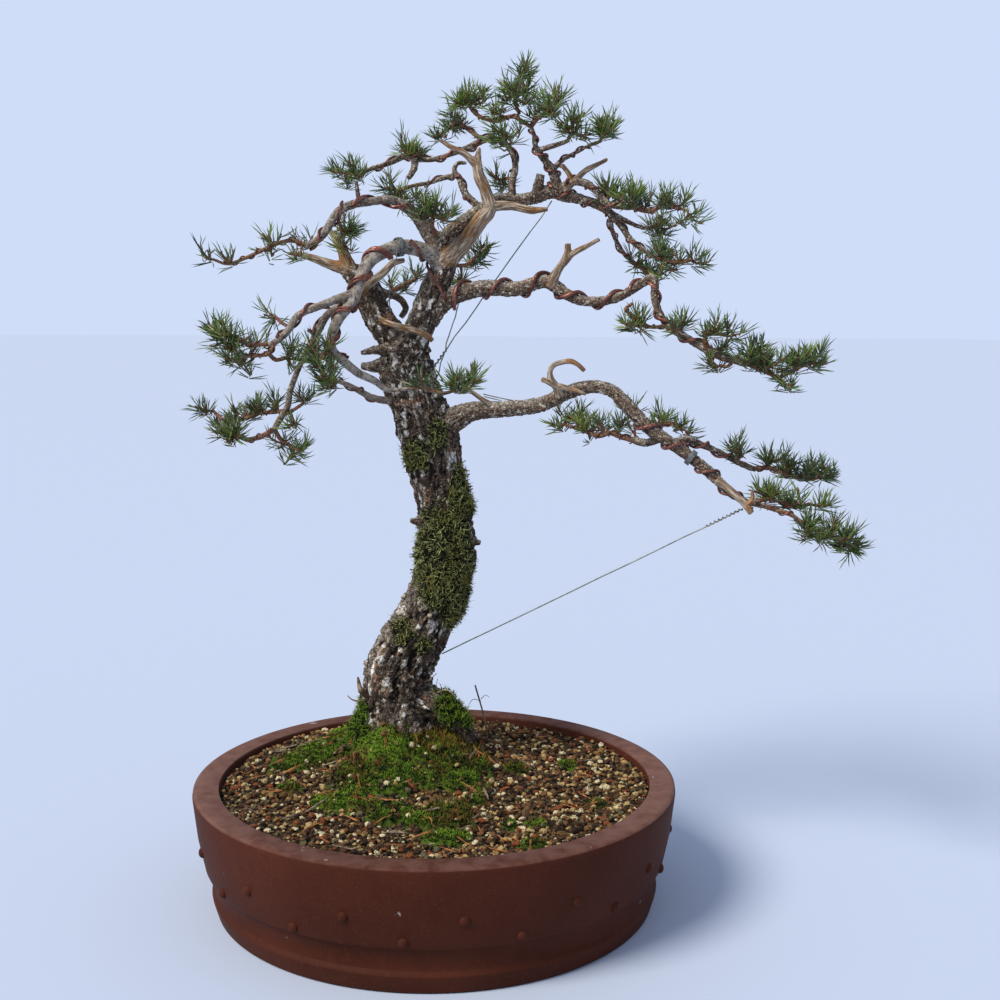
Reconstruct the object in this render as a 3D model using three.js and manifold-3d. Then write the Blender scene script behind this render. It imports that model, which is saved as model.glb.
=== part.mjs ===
// A scots pine bonsai in a round drum pot, in millimetres, +Z up, seen from the front along +Y.
// The origin is the centre of the pot's flat underside.
import * as THREE from 'three';
import { mergeVertices } from 'three/addons/utils/BufferGeometryUtils.js';
import Module from 'manifold-3d';

const wasm = await Module();
wasm.setup();

// Clearance between pieces that touch
const gap = 0.35;

// Pot: a round drum of unglazed clay
const rimRadius = 230;
const potHeight = 116;
const rimWidth = 24;
const wallLean = 15;
const outerProfile = [[0, 0], [208, 0], [212.5, 16], [210.8, 23], [216.8, 42], [219.5, 45], [226, 76],
  [rimRadius, potHeight - 4], [rimRadius - 3, potHeight]];
const studdedWall = [45, 76, 219.5, 226];
const studSink = 0.7;
const floorTop = 24;
const potSides = 40;
const studRadius = 5;
const studRise = 2.6;
const studSides = 6;
const studsPerRow = 14;
const firstStudAngle = 0.15;
const upperStudHeight = 70;
const lowerStudHeight = 50;
const drainHoleRadius = 18;
const drainHoleSides = 8;
const drainHoleOffset = 90;
const drainGrooveDepth = 3;
const drainGrooveWidth = 14;
const screenSize = 46;
const screenThickness = 1.2;

// Soil and moss
const soilEdgeHeight = 109;
const moundRise = 34;
const moundSpread = 84;
const moundCentre = [-38, 50];
const gritRelief = 1.4;
const soilRings = 6;
const soilSeed = 11;
const mossCentre = [-34, -22];
const mossReach = [98, 126];
const mossDepth = 7;
const mossRelief = 2;
const mossEdge = 1.2;
const mossSeat = 1.2;
const mossRings = 4;
const mossSectors = 22;
const mossLobes = [[3, 0.1, 1], [7, 0.07, 0]];
const mossSeed = 23;

// Bark, twigs and needles
const barkRelief = 0.07;
const deadwoodRelief = 0.1;
const woodSeed = 100;
const shortestNeedle = 17;
const longestNeedle = 22;
const needleRoot = 0.15;
const needleThickness = 1.2;
const needleClearance = 0.5;
const needleWander = 0.5;
const needleTries = 6;
const needleLeans = [0.2, 0.55];
const spraySeed = 500;
const budLength = 3.4;
const shootRadius = 1.15;
const shortestShoot = 2;
const stemStep = 13;
const nodeHalf = 1.6;

// Wires and ties
const turnSteps = 7;
const windClearance = 0.4;
const copperSides = 4;
const guyRadius = 0.6;
const guySides = 4;
const tieWidth = 7;
const tieThickness = 0.9;
const tieSides = 10;

// Finishes
const clay = { color: 0x5e332a, roughness: 0.72, metalness: 0 };
const grit = { color: 0x8a7458, roughness: 0.95, metalness: 0 };
const mossGreen = { color: 0x55781f, roughness: 1, metalness: 0 };
const bark = { color: 0x7a6a5e, roughness: 0.92, metalness: 0 };
const needleGreen = { color: 0x3f5c34, roughness: 0.6, metalness: 0 };
const copper = { color: 0x9a5a45, roughness: 0.45, metalness: 0.8 };
const steel = { color: 0x7d8378, roughness: 0.4, metalness: 0.9 };
const tieGrey = { color: 0x8b9096, roughness: 0.7, metalness: 0 };
const screenBlack = { color: 0x1b1b1b, roughness: 0.6, metalness: 0 };

// Live wood: each route is a line of points [x, y, z, radius], from where it grows to its end
const liveWood = {
  trunk: [[-38, 72, 76, 41], [-39, 70, 121, 45], [-40, 68, 149, 42], [-42, 67, 172, 37], [-40, 65, 206, 35],
    [-26, 62, 235, 33], [-13, 59, 258, 31], [-1, 56, 285, 30], [6, 54, 313, 30], [8, 53, 340, 30],
    [7, 53, 364, 28], [2, 53, 384, 26], [-2, 54, 403, 27], [-8, 56, 436, 30], [-17, 56, 464, 28],
    [-27, 54, 494, 28], [-28, 52, 528, 20]],
  root_right: [[-21, 60, 174, 22], [3, 52, 168, 16], [21, 46, 155, 11], [37, 42, 136, 7]],
  root_left: [[-54, 60, 166, 18], [-74, 54, 145, 14], [-88, 50, 119, 9]],
  root_front: [[-37, 50, 165, 19], [-38, 34, 143, 15], [-31, 20, 119, 10]],
  limb_left: [[-30, 54, 513, 17.4], [-43, 56, 534, 16], [-60, 57, 560, 15.2], [-69, 56, 584, 14],
    [-79, 55, 595, 12.5], [-87, 54, 601, 9]],
  limb_right: [[-28, 50, 519, 18.4], [-21, 48, 536, 15.4], [-8, 45, 570, 13.9], [5, 43, 600, 13],
    [9, 42, 612, 11.4]],
  arch: [[4, 40, 602, 9.5], [-4, 36, 613, 8], [-18, 28, 619, 7.5], [-34, 18, 620, 7], [-48, 8, 615, 6.7],
    [-61, -2, 605, 6.4], [-69, -9, 587, 6], [-75, -14, 569, 5.5], [-86, -18, 555, 5], [-93, -20, 540, 5],
    [-94, -19, 526, 4.8], [-83, -14, 514, 4.4], [-70, -8, 503, 4.2], [-56, -2, 496, 3.7],
    [-46, 3, 488, 2.8], [-34, 2, 488, 2.1], [-23, -3, 490, 1.6]],
  left_middle: [[-75, -12, 576, 4.6], [-98, -22, 567, 3.9], [-123, -33, 555, 3.6], [-130, -38, 543, 3.6],
    [-139, -42, 534, 3.1], [-147, -45, 529, 2.7]],
  left_low: [[-75, -13, 572, 4.4], [-88, 1, 565, 4.2], [-102, 12, 556, 4], [-111, 20, 542, 3.8],
    [-127, 32, 517, 3.1], [-142, 43, 484, 3.1], [-145, 47, 470, 3.4], [-153, 50, 457, 3.4],
    [-161, 53, 444, 3.2]],
  low_twig: [[-45, 44, 475, 4.3], [-60, 34, 478, 3.6], [-83, 20, 491, 2.8], [-94, 15, 496, 2.4]],
  crown_trunk: [[4, 44, 608, 11.4], [2, 46, 622, 11], [13, 50, 634, 9.5], [40, 55, 655, 7.7],
    [57, 54, 666, 6.7], [76, 52, 666, 6.7], [93, 50, 669, 6.7], [108, 48, 674, 7.1], [122, 46, 670, 6.2],
    [148, 41, 663, 4.5], [159, 38, 657, 4.5], [167, 36, 650, 4]],
  left_upper: [[2, 46, 621, 9.5], [-13, 44, 642, 7.6], [-21, 40, 652, 6.1], [-31, 35, 659, 5.2],
    [-44, 30, 664, 4.5], [-61, 25, 662, 4.2], [-77, 20, 659, 4.4], [-89, 15, 653, 4.4], [-96, 11, 643, 4.2],
    [-104, 7, 630, 3.9], [-113, 4, 622, 3.7], [-120, 1, 619, 3]],
  second_left: [[71, 52, 668, 4.3], [71, 54, 683, 3.6], [74, 60, 697, 3.3], [71, 67, 712, 3.1],
    [64, 73, 722, 3.1], [54, 78, 727, 3.1], [43, 83, 726, 3.6], [30, 88, 720, 3.7], [15, 93, 715, 2.7],
    [-12, 101, 709, 2.7], [-24, 104, 713, 3.9], [-36, 107, 713, 3.5], [-48, 111, 708, 3],
    [-77, 119, 700, 2.5]],
  second_link: [[-25, 104, 715, 3.9], [-25, 96, 701, 3.7], [-30, 88, 690, 2.9]],
  third_left: [[38, 54, 661, 3.8], [27, 60, 672, 3.6], [22, 65, 683, 3.6], [19, 69, 690, 3.1],
    [5, 74, 689, 2.7], [-9, 79, 685, 2.4], [-23, 84, 683, 2.2]],
  loop_twig: [[21, 67, 688, 3.1], [15, 70, 696, 2.6], [19, 73, 703, 2.4], [27, 75, 703, 1.9]],
  crown_stem: [[113, 48, 670, 6.6], [112, 46, 684, 5.7], [108, 44, 694, 4.7], [102, 42, 702, 3.8],
    [96, 40, 709, 3.3], [92, 38, 716, 2.6], [91, 37, 725, 2.3], [87, 36, 735, 2.1]],
  crown_knob: [[93, 49, 667, 5.7], [96, 46, 681, 5.2], [98, 45, 690, 4.3]],
  crown_side: [[110, 44, 695, 3.3], [118, 36, 702, 2.3], [135, 22, 710, 1.9], [143, 16, 714, 1.8]],
  crown_shelf: [[94, 40, 711, 2.8], [105, 30, 713, 2.8], [115, 20, 715, 2.6], [123, 12, 717, 1.8]],
  right_high: [[116, 46, 671, 5.2], [122, 40, 680, 4.2], [131, 33, 682, 4], [141, 26, 679, 4],
    [150, 20, 671, 3.7], [158, 14, 661, 3.5], [169, 8, 657, 3], [182, 2, 656, 2.8]],
  right_drop: [[165, 37, 652, 3.8], [165, 44, 642, 2.6], [179, 60, 617, 2.4], [191, 68, 608, 2.2]],
  right_fall: [[166, 36, 651, 3.8], [174, 30, 640, 3.1], [183, 24, 627, 3], [194, 18, 618, 2.6],
    [205, 13, 611, 2.3]],
  right_back: [[165, 38, 653, 3.3], [183, 52, 646, 2.4], [198, 64, 642, 2.2], [210, 74, 645, 1.9]],
  branch_right: [[-10, 46, 553, 12], [2, 44, 567, 10.5], [16, 41, 576, 9.5], [30, 38, 580, 8.6],
    [46, 34, 583, 8.1], [76, 27, 582, 7.3], [102, 21, 589, 6.8], [112, 18, 584, 6.6], [124, 14, 576, 5.6],
    [137, 10, 571, 5.1], [166, 1, 573, 4.6], [192, -8, 588, 4.4], [199, -11, 592, 4.1],
    [201, -13, 585, 4.1], [201, -15, 573, 3.9], [206, -18, 559, 3.6], [214, -21, 547, 3.6],
    [226, -25, 540, 3.6], [240, -29, 531, 3.9], [254, -33, 524, 4.3], [267, -36, 519, 4.1],
    [279, -39, 516, 3.4]],
  branch_low: [[0, 54, 447, 16.6], [14, 50, 456, 13.1], [30, 46, 464, 10.7], [46, 42, 467, 9.2],
    [65, 38, 468, 8.2], [99, 29, 473, 7.6], [112, 25, 479, 7.6], [125, 21, 485, 7.1], [139, 17, 490, 6.8],
    [153, 13, 491, 6.6], [166, 9, 487, 6.6], [177, 6, 477, 6.8], [199, 0, 454, 6.8], [227, -6, 435, 6.1],
    [253, -12, 415, 5.6], [265, -14, 404, 5.3], [277, -16, 393, 4.2], [289, -17, 387, 3],
    [299, -18, 384, 3], [308, -19, 383, 2.8]],
  fork_low: [[223, -5, 440, 4.2], [235, 0, 443, 3.7], [248, 8, 438, 3.8], [263, 16, 432, 3.3],
    [279, 24, 424, 3.3], [295, 31, 416, 3.4], [308, 37, 411, 2.9]],
  back_low: [[212, -2, 444, 4.2], [199, 16, 438, 4], [190, 32, 439, 4.4]],
  burl: [[-30, 54, 520, 22], [-29, 41, 522, 18], [-27, 30, 523, 12]],
  burl_low: [[-34, 54, 500, 17], [-45, 47, 500, 12], [-51, 41, 498, 8]],
  hook_behind: [[-60, 66, 580, 4.9], [-47, 74, 577, 3.9], [-37, 80, 572, 3.7], [-33, 83, 564, 3.5],
    [-38, 84, 555, 3]],
  stub_low_left: [[-113, 22, 539, 2.8], [-121, 18, 543, 1.9]],
  stub_upper: [[-71, 22, 659, 2.8], [-73, 20, 670, 2.3], [-74, 18, 680, 1.9]],
  stub_right: [[30, 50, 338, 5.9], [42, 47, 336, 2.5]],
  flake_left: [[-15, 40, 357, 5.8], [-26, 34, 360, 2.4]],
};

// Deadwood: bare jins, snags and sticks
const deadWood = {
  jin_left: [[-81, 54, 597, 9.6], [-90, 53, 602, 7.2], [-100, 52, 604, 5.3], [-120, 50, 611, 3.6],
    [-141, 48, 616, 1.7]],
  jin_left_up: [[-85, 54, 600, 8.2], [-90, 52, 615, 5.7], [-97, 51, 628, 3.8], [-103, 50, 637, 2.4]],
  jin_twig: [[-73, 46, 578, 4.3], [-62, 36, 588, 3.8], [-50, 30, 597, 3.5], [-40, 27, 606, 3.3],
    [-30, 25, 608, 2.2]],
  jin_main: [[5, 42, 606, 12.4], [16, 38, 616, 9.5], [29, 34, 629, 8], [40, 31, 644, 7.5],
    [50, 30, 657, 6.6], [46, 29, 672, 5.8], [40, 28, 686, 5.4], [38, 28, 699, 4.4], [40, 28, 712, 1.4]],
  jin_arm_left: [[39, 28, 694, 4.2], [28, 27, 705, 3.3], [16, 26, 711, 2.6], [3, 25, 718, 1.4]],
  jin_arm_right: [[46, 30, 658, 5.6], [68, 29, 659, 4], [90, 28, 655, 3.7], [104, 27, 656, 1.9]],
  jin_on_right: [[107, 18, 584, 6.1], [112, 13, 596, 4.4], [118, 9, 606, 3.5], [122, 7, 614, 3.2],
    [122, 5, 623, 3]],
  jin_on_right_arm: [[118, 9, 604, 3.2], [127, 6, 614, 2.8], [138, 3, 620, 2.5], [151, 0, 627, 1.8]],
  jin_hook: [[117, 14, 482, 4.7], [113, 10, 491, 3.8], [108, 8, 498, 3], [107, 7, 506, 2.6],
    [110, 6, 511, 2.6], [118, 6, 514, 2.6], [126, 5, 515, 2.6], [134, 4, 511, 2.3], [139, 4, 506, 2.1]],
  jin_hook_nub: [[112, 9, 492, 3.3], [105, 7, 496, 2.8], [99, 6, 498, 2.3]],
  jin_strip: [[115, 9, 492, 2.8], [127, 6, 489, 2.3], [141, 7, 484, 1.4]],
  jin_end: [[261, -18, 407, 4.2], [274, -23, 397, 3.9], [288, -26, 384, 3.2], [293, -27, 377, 3]],
  jin_end_up: [[288, -26, 384, 2.8], [293, -27, 390, 2.1], [293, -27, 399, 1.4]],
  jin_crown: [[121, 42, 675, 3.8], [130, 34, 683, 3], [140, 26, 692, 2.8], [149, 19, 696, 2.3],
    [158, 12, 700, 1.6]],
  jin_crown_stub: [[129, 36, 681, 2.8], [123, 33, 690, 2.6], [117, 31, 697, 2.1]],
  stick_front: [[-56, 46, 553, 3.4], [-38, 30, 547, 3.1], [-22, 25, 543, 3.1], [-9, 25, 538, 3.1],
    [-4, 27, 533, 2.4]],
  twig_on_low: [[54, 40, 471, 2.9], [44, 34, 477, 2.4], [32, 28, 486, 1.9]],
  stub_left: [[-45, 50, 524, 6.8], [-59, 43, 524, 4.8], [-73, 38, 521, 2.4]],
  lump_left: [[-49, 48, 511, 8.7], [-62, 43, 508, 5.8], [-73, 40, 509, 3.4]],
};

// Leafy stems: a stem's points are [x, y, z, radius], and it grows from the end of a limb or from
// a point inside one; each tuft is the centre of a burst of needles on a side shoot
const leafyStems = {
  left_upper_tip: { from: 'left_upper',
    stem: [[-132, -3, 624, 2.1], [-144, -7, 621, 2.1], [-173, -15, 607, 1.8], [-188, -19, 602, 1.6],
      [-200, -22, 606, 1.4]],
    tufts: [[-207, -22, 615], [-188, -30, 612], [-150, -14, 628], [-158, 8, 621], [-125, -16, 614],
      [-124, 14, 628]] },
  left_upper_inner: { from: [-92, 13, 648], stem: [[-89, 22, 638, 1.9], [-88, 26, 629, 1.6]],
    tufts: [[-75, 32, 639], [-86, 34, 628], [-87, 44, 643]] },
  second_left_tip: { from: 'second_left', stem: [[-87, 122, 698, 2.3], [-95, 124, 699, 2]],
    tufts: [[-106, 126, 707], [-91, 112, 707], [-97, 140, 696], [-81, 98, 698]] },
  third_left_tip: { from: 'third_left', stem: [[-31, 82, 681, 1.9], [-38, 78, 678, 1.9]],
    tufts: [[-43, 66, 673], [-58, 74, 687], [-34, 58, 664], [-22, 74, 672]] },
  second_left_mid: { from: [-32, 106, 713], stem: [[-35, 104, 719, 2]],
    tufts: [[-40, 112, 727], [-28, 94, 722], [-17, 116, 721]] },
  crown_left: { from: [42, 84, 726], stem: [[34, 90, 733, 2.4], [24, 96, 741, 2], [16, 98, 749, 1.5]],
    tufts: [[11, 92, 757], [20, 112, 748], [1, 108, 740], [-9, 96, 734]] },
  crown_top_left: { from: 'crown_stem',
    stem: [[70, 46, 743, 2.1], [57, 54, 740, 2.1], [44, 60, 743, 2.1], [34, 66, 750, 1.9],
      [28, 70, 759, 1.7]],
    tufts: [[22, 70, 772], [45, 62, 776], [32, 90, 767], [49, 40, 755], [15, 52, 764]] },
  apex: { from: [77, 36, 744], stem: [[73, 30, 753, 1.9], [73, 24, 763, 1.6], [76, 20, 774, 1.4]],
    tufts: [[82, 18, 783], [70, 2, 766], [87, 38, 773], [62, 20, 762], [84, 0, 754]] },
  crown_inner: { from: [59, 76, 724], stem: [[61, 62, 727, 1.7], [65, 46, 728, 1.4]],
    tufts: [[62, 34, 730], [54, 44, 724], [72, 26, 720]] },
  crown_top_right: { from: 'crown_stem',
    stem: [[96, 26, 740, 2.1], [106, 16, 741, 1.8], [111, 8, 747, 1.6]],
    tufts: [[93, 40, 755], [101, 4, 750], [114, 8, 759], [111, 24, 762], [106, -14, 742]] },
  crown_shelf_tip: { from: 'crown_shelf', stem: [[125, 4, 723, 1.6], [125, -2, 729, 1.4]],
    tufts: [[127, -9, 740], [116, -10, 726], [133, 2, 727]] },
  crown_side_tip: { from: 'crown_side', stem: [[151, 8, 716, 1.6], [154, 2, 722, 1.4]],
    tufts: [[149, 0, 737], [151, -10, 725], [161, 10, 733]] },
  right_high_tip: { from: 'right_high',
    stem: [[196, -4, 652, 2.3], [208, -9, 656, 1.8], [220, -13, 654, 1.6], [229, -16, 652, 1.4]],
    tufts: [[236, -18, 650], [228, -12, 669], [206, -16, 667], [189, -6, 679], [199, 8, 666],
      [180, -12, 669]] },
  right_high_inner: { from: [157, 15, 662], stem: [[162, 18, 669, 1.9]],
    tufts: [[163, 18, 680], [157, 32, 674], [173, 24, 675]] },
  right_fall_tip: { from: 'right_fall', stem: [[215, 8, 608, 1.9], [225, 3, 606, 1.8], [235, -2, 608, 1.6]],
    tufts: [[248, -5, 612], [226, 2, 612], [211, 8, 623], [219, 22, 619], [208, 2, 601]] },
  right_drop_tip: { from: 'right_drop', stem: [[202, 72, 600, 1.7]],
    tufts: [[192, 68, 614], [209, 86, 608], [218, 70, 603]] },
  right_back_tip: { from: 'right_back', stem: [[222, 82, 651, 1.7]],
    tufts: [[207, 84, 649], [224, 92, 656], [223, 84, 639]] },
  right_loop: { from: [212, -20, 549],
    stem: [[197, -26, 547, 1.8], [184, -32, 554, 1.8], [173, -34, 563, 1.8], [179, -32, 568, 1.6]],
    tufts: [[187, -32, 559], [176, -44, 551]] },
  right_pair: { from: [225, -24, 541], stem: [[224, -28, 547, 1.6]],
    tufts: [[223, -30, 555], [212, -42, 551]] },
  right_outer: { from: [250, -31, 527],
    stem: [[245, -36, 536, 2], [246, -40, 543, 1.8], [254, -44, 542, 1.8], [262, -47, 540, 1.6]],
    tufts: [[256, -42, 554], [270, -52, 548], [268, -36, 537], [247, -56, 548]] },
  right_tip: { from: 'branch_right',
    stem: [[291, -42, 512, 2.7], [301, -45, 507, 2.2], [310, -48, 503, 1.8], [320, -50, 508, 1.6],
      [338, -54, 517, 1.3]],
    tufts: [[315, -48, 499], [345, -55, 521], [340, -46, 528], [323, -62, 529], [310, -70, 527],
      [299, -58, 527], [291, -44, 536], [303, -32, 520], [325, -38, 519], [282, -60, 526]] },
  right_hook: { from: [269, -37, 515], stem: [[265, -37, 512, 1.8], [258, -37, 513, 1.6]],
    tufts: [[250, -37, 518]] },
  low_tip: { from: 'branch_low',
    stem: [[321, -20, 378, 2.6], [331, -21, 375, 2.3], [341, -22, 368, 2.1], [355, -23, 361, 1.9],
      [383, -25, 350, 1.4]],
    tufts: [[396, -26, 349], [388, -34, 367], [374, -18, 368], [360, -40, 360], [351, -30, 375],
      [385, -6, 350], [351, -10, 358]] },
  low_upper: { from: [298, -17, 386],
    stem: [[310, -14, 389, 2.1], [325, -10, 385, 1.9], [339, -6, 380, 1.9], [352, -2, 383, 1.6]],
    tufts: [[318, -14, 401], [314, 2, 400], [345, -8, 390], [368, 2, 389], [336, 4, 392]] },
  fork_tip: { from: 'fork_low',
    stem: [[321, 41, 412, 2.4], [335, 46, 407, 2.2], [348, 51, 403, 2], [363, 56, 399, 1.7],
      [377, 60, 401, 1.5]],
    tufts: [[349, 54, 424], [368, 70, 419], [377, 54, 415], [390, 62, 407], [359, 38, 412], [323, 46, 427],
      [343, 66, 413]] },
  fork_inner: { from: [286, 27, 419], stem: [[292, 30, 425, 1.7]],
    tufts: [[290, 30, 434], [287, 46, 437]] },
  back_tip: { from: 'back_low',
    stem: [[179, 46, 441, 2.9], [168, 58, 444, 2.7], [158, 68, 440, 2.5], [145, 78, 444, 2],
      [124, 92, 450, 1.5]],
    tufts: [[118, 94, 454], [140, 92, 469], [142, 72, 457], [161, 78, 460], [156, 104, 453], [177, 54, 460],
      [189, 36, 481], [131, 110, 464]] },
  back_right: { from: [206, 6, 440], stem: [[209, 24, 448, 1.9], [219, 36, 454, 1.7], [231, 42, 455, 1.7]],
    tufts: [[205, 32, 465], [218, 48, 465], [234, 54, 459], [249, 42, 450]] },
  left_middle_tip: { from: 'left_middle',
    stem: [[-159, -49, 530, 2], [-169, -53, 532, 2], [-178, -56, 537, 1.8], [-187, -59, 542, 1.5]],
    tufts: [[-196, -60, 548], [-189, -50, 538], [-177, -72, 547], [-170, -66, 536], [-181, -62, 530],
      [-170, -33, 537]] },
  left_middle_lower: { from: [-141, -43, 533],
    stem: [[-147, -48, 522, 2], [-159, -40, 520, 1.8], [-169, -38, 519, 1.6]],
    tufts: [[-181, -38, 522], [-180, -22, 516]] },
  left_middle_right: { from: [-144, -43, 531],
    stem: [[-148, -36, 522, 2], [-143, -32, 516, 2], [-134, -28, 518, 1.8]],
    tufts: [[-128, -26, 530], [-123, -16, 524]] },
  left_middle_top: { from: [-129, -37, 545], stem: [[-138, -33, 550, 1.6], [-143, -31, 555, 1.4]],
    tufts: [[-148, -30, 558]] },
  low_left_pad: { from: [-148, 48, 465],
    stem: [[-159, 54, 463, 2.2], [-172, 60, 462, 2.2], [-185, 64, 458, 2], [-199, 68, 453, 2],
      [-214, 72, 455, 1.7], [-224, 76, 463, 1.5]],
    tufts: [[-233, 76, 471], [-221, 82, 450], [-203, 60, 464], [-195, 76, 467], [-183, 60, 473],
      [-173, 72, 472], [-160, 54, 477]] },
  low_left_bottom: { from: 'left_low',
    stem: [[-173, 50, 439, 2.9], [-186, 46, 437, 2.4], [-195, 42, 442, 1.9]],
    tufts: [[-203, 40, 448], [-213, 46, 453], [-189, 24, 451], [-202, 28, 441]] },
  low_left_right: { from: [-159, 53, 446], stem: [[-154, 58, 436, 2.2], [-145, 62, 429, 2]],
    tufts: [[-140, 64, 424], [-130, 50, 432], [-154, 78, 436]] },
  low_left_up: { from: [-150, 49, 460], stem: [[-139, 48, 466, 1.9], [-130, 46, 472, 1.7]],
    tufts: [[-126, 46, 481], [-134, 38, 455]] },
  low_twig_tip: { from: 'low_twig', stem: [[-101, 12, 499, 1.6]],
    tufts: [[-110, 10, 505], [-99, 24, 507], [-104, 27, 492]] },
  arch_side: { from: [-90, -17, 520], stem: [[-96, -26, 522, 1.8], [-101, -32, 522, 1.6]],
    tufts: [[-108, -44, 514], [-114, -34, 526], [-92, -34, 513], [-96, -32, 531]] },
  behind_limbs: { from: [-50, 72, 579], stem: [[-44, 82, 582, 2], [-33, 92, 588, 2], [-23, 98, 594, 1.7]],
    tufts: [[-49, 90, 586], [-36, 100, 589], [-18, 102, 602]] },
  behind_jin: { from: [9, 44, 604], stem: [[18, 64, 605, 2.2], [28, 78, 607, 2], [37, 88, 616, 1.7]],
    tufts: [[45, 92, 629], [41, 98, 618], [30, 98, 610], [19, 80, 591]] },
  trunk_front: { from: 'arch',
    stem: [[-11, -9, 490, 1.6], [0, -12, 487, 1.8], [11, -14, 486, 1.8], [19, -15, 490, 1.6],
      [26, -15, 497, 1.4]],
    tufts: [[-9, -14, 496], [34, -15, 506], [38, -6, 497], [17, -22, 503], [24, -26, 494]] },
  crown_base: { from: [-1, 40, 631], stem: [[-4, 22, 640, 2.3], [-2, 14, 649, 1.9]],
    tufts: [[-15, 12, 656], [-8, 22, 661], [3, 16, 658], [13, 6, 649], [19, 20, 658]] },
  inner_single: { from: [71, 54, 686], stem: [[63, 62, 688, 1.7]],
    tufts: [[53, 66, 694], [61, 72, 681]] },
};

// Copper training wires: [limb, start and end as shares of its length, turns, wire radius, first angle]
const copperWires = {
  wire_branch_right: ['branch_right', 0.09, 0.57, 5.5, 1.9, 1.5],
  wire_fork: ['fork_low', 0.2, 0.72, 2, 1.4, 1],
  wire_arch_top: ['arch', 0.23, 0.43, 2, 1.7, 2],
  wire_arch_low: ['arch', 0.52, 0.68, 1.5, 1.7, 3.1],
  wire_left_middle: ['left_middle', 0.34, 0.86, 1.5, 1.3, 0],
  wire_left_upper: ['left_upper', 0.27, 0.53, 1.5, 1.4, 1],
};

// Guy wires: taut from the point on the branch to the trunk
const guyWires = {
  guy_low_branch: [[285.1, -24.9, 381.1], [4, 51.5, 223.5]],
  guy_crown: [[108.9, 49.9, 665.9], [-3.4, 47.2, 508]],
  guy_right_branch: [[20.4, 39.5, 568.2], [-0.1, 43.3, 498.4]],
};

// Soft ties: a band round a limb at a share of its length
const ties = {
  tie_arch: ['arch', 0.19],
  tie_low_branch: ['branch_low', 0.765],
};

const group = new THREE.Group();

// A repeatable stream of draws between 0 and 1
function seeded(seed) {
  let state = seed;
  return () => {
    state = (state + 0x6d2b79f5) | 0;
    let mixed = Math.imul(state ^ (state >>> 15), 1 | state);
    mixed = (mixed + Math.imul(mixed ^ (mixed >>> 7), 61 | mixed)) ^ mixed;
    return ((mixed ^ (mixed >>> 14)) >>> 0) / 4294967296;
  };
}

function meshSolid(positions, triangles) {
  const corner = (i) => new THREE.Vector3().fromArray(positions, 3 * i);
  let volume = 0;
  for (let i = 0; i < triangles.length; i += 3) {
    const [a, b, c] = [triangles[i], triangles[i + 1], triangles[i + 2]];
    volume += corner(a).dot(corner(b).cross(corner(c)));
  }
  if (volume < 0) triangles = [...triangles].reverse();
  return new wasm.Manifold(new wasm.Mesh({
    numProp: 3, vertProperties: Float32Array.from(positions), triVerts: Uint32Array.from(triangles),
  }));
}

// A closed geometry as a solid, with shared corners merged and collapsed triangles left out
function solid(geometry) {
  const bare = geometry.clone();
  bare.deleteAttribute('normal');
  bare.deleteAttribute('uv');
  const merged = mergeVertices(bare, 1e-3);
  const triangles = [];
  for (let i = 0; i < merged.index.count; i += 3) {
    const [a, b, c] = [0, 1, 2].map((k) => merged.index.getX(i + k));
    if (a !== b && b !== c && c !== a) triangles.push(a, b, c);
  }
  return meshSolid(merged.attributes.position.array, triangles);
}

const joined = (shapes) => shapes.reduce((whole, shape) => whole.add(shape));

function place(name, shape, finish) {
  const { vertProperties, triVerts } = shape.getMesh();
  const geometry = new THREE.BufferGeometry();
  geometry.setAttribute('position', new THREE.BufferAttribute(vertProperties, 3));
  geometry.setIndex(new THREE.BufferAttribute(triVerts, 1));
  geometry.computeVertexNormals();
  const mesh = new THREE.Mesh(geometry, new THREE.MeshStandardMaterial(finish));
  mesh.name = name;
  group.add(mesh);
}

// Rings along a smooth line through [x, y, z, radius] points, one every step or so
function ringsAlong(points, step) {
  const corners = points.map((p) => new THREE.Vector3(...p));
  const curve = new THREE.CatmullRomCurve3(corners, false, 'centripetal');
  const count = Math.max(1, Math.round(curve.getLength() / step));
  const frames = curve.computeFrenetFrames(count);
  return Array.from({ length: count + 1 }, (_, i) => {
    const spot = curve.getUtoTmapping(i / count) * (points.length - 1);
    const before = Math.min(points.length - 2, Math.floor(spot));
    return {
      centre: curve.getPointAt(i / count),
      along: frames.tangents[i],
      side: frames.normals[i],
      up: frames.binormals[i],
      radius: THREE.MathUtils.lerp(points[before][3], points[before + 1][3], spot - before),
    };
  });
}

function onRing(ring, angle, radius) {
  return ring.centre.clone()
    .addScaledVector(ring.side, radius * Math.cos(angle))
    .addScaledVector(ring.up, radius * Math.sin(angle));
}

// Corner numbers of the band between two rings; each ring is turned half a side from the last,
// and the rings an even number away from the straight one aren't turned
function bandTriangles(ringIndex, sides, straight = 0) {
  const at = (ring, corner) => ring * sides + (corner % sides);
  const [near, far] = [ringIndex, ringIndex + 1];
  const triangles = [];
  for (let j = 0; j < sides; j++) {
    const [a, b, c, d] = [at(near, j), at(near, j + 1), at(far, j), at(far, j + 1)];
    if ((near - straight) % 2 === 0) triangles.push([a, b, c], [b, d, c]);
    else triangles.push([a, d, c], [a, b, d]);
  }
  return triangles;
}

function cornerAngle(ringIndex, corner, sides) {
  return (2 * Math.PI * (corner + Math.abs(ringIndex % 2) / 2)) / sides;
}

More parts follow.
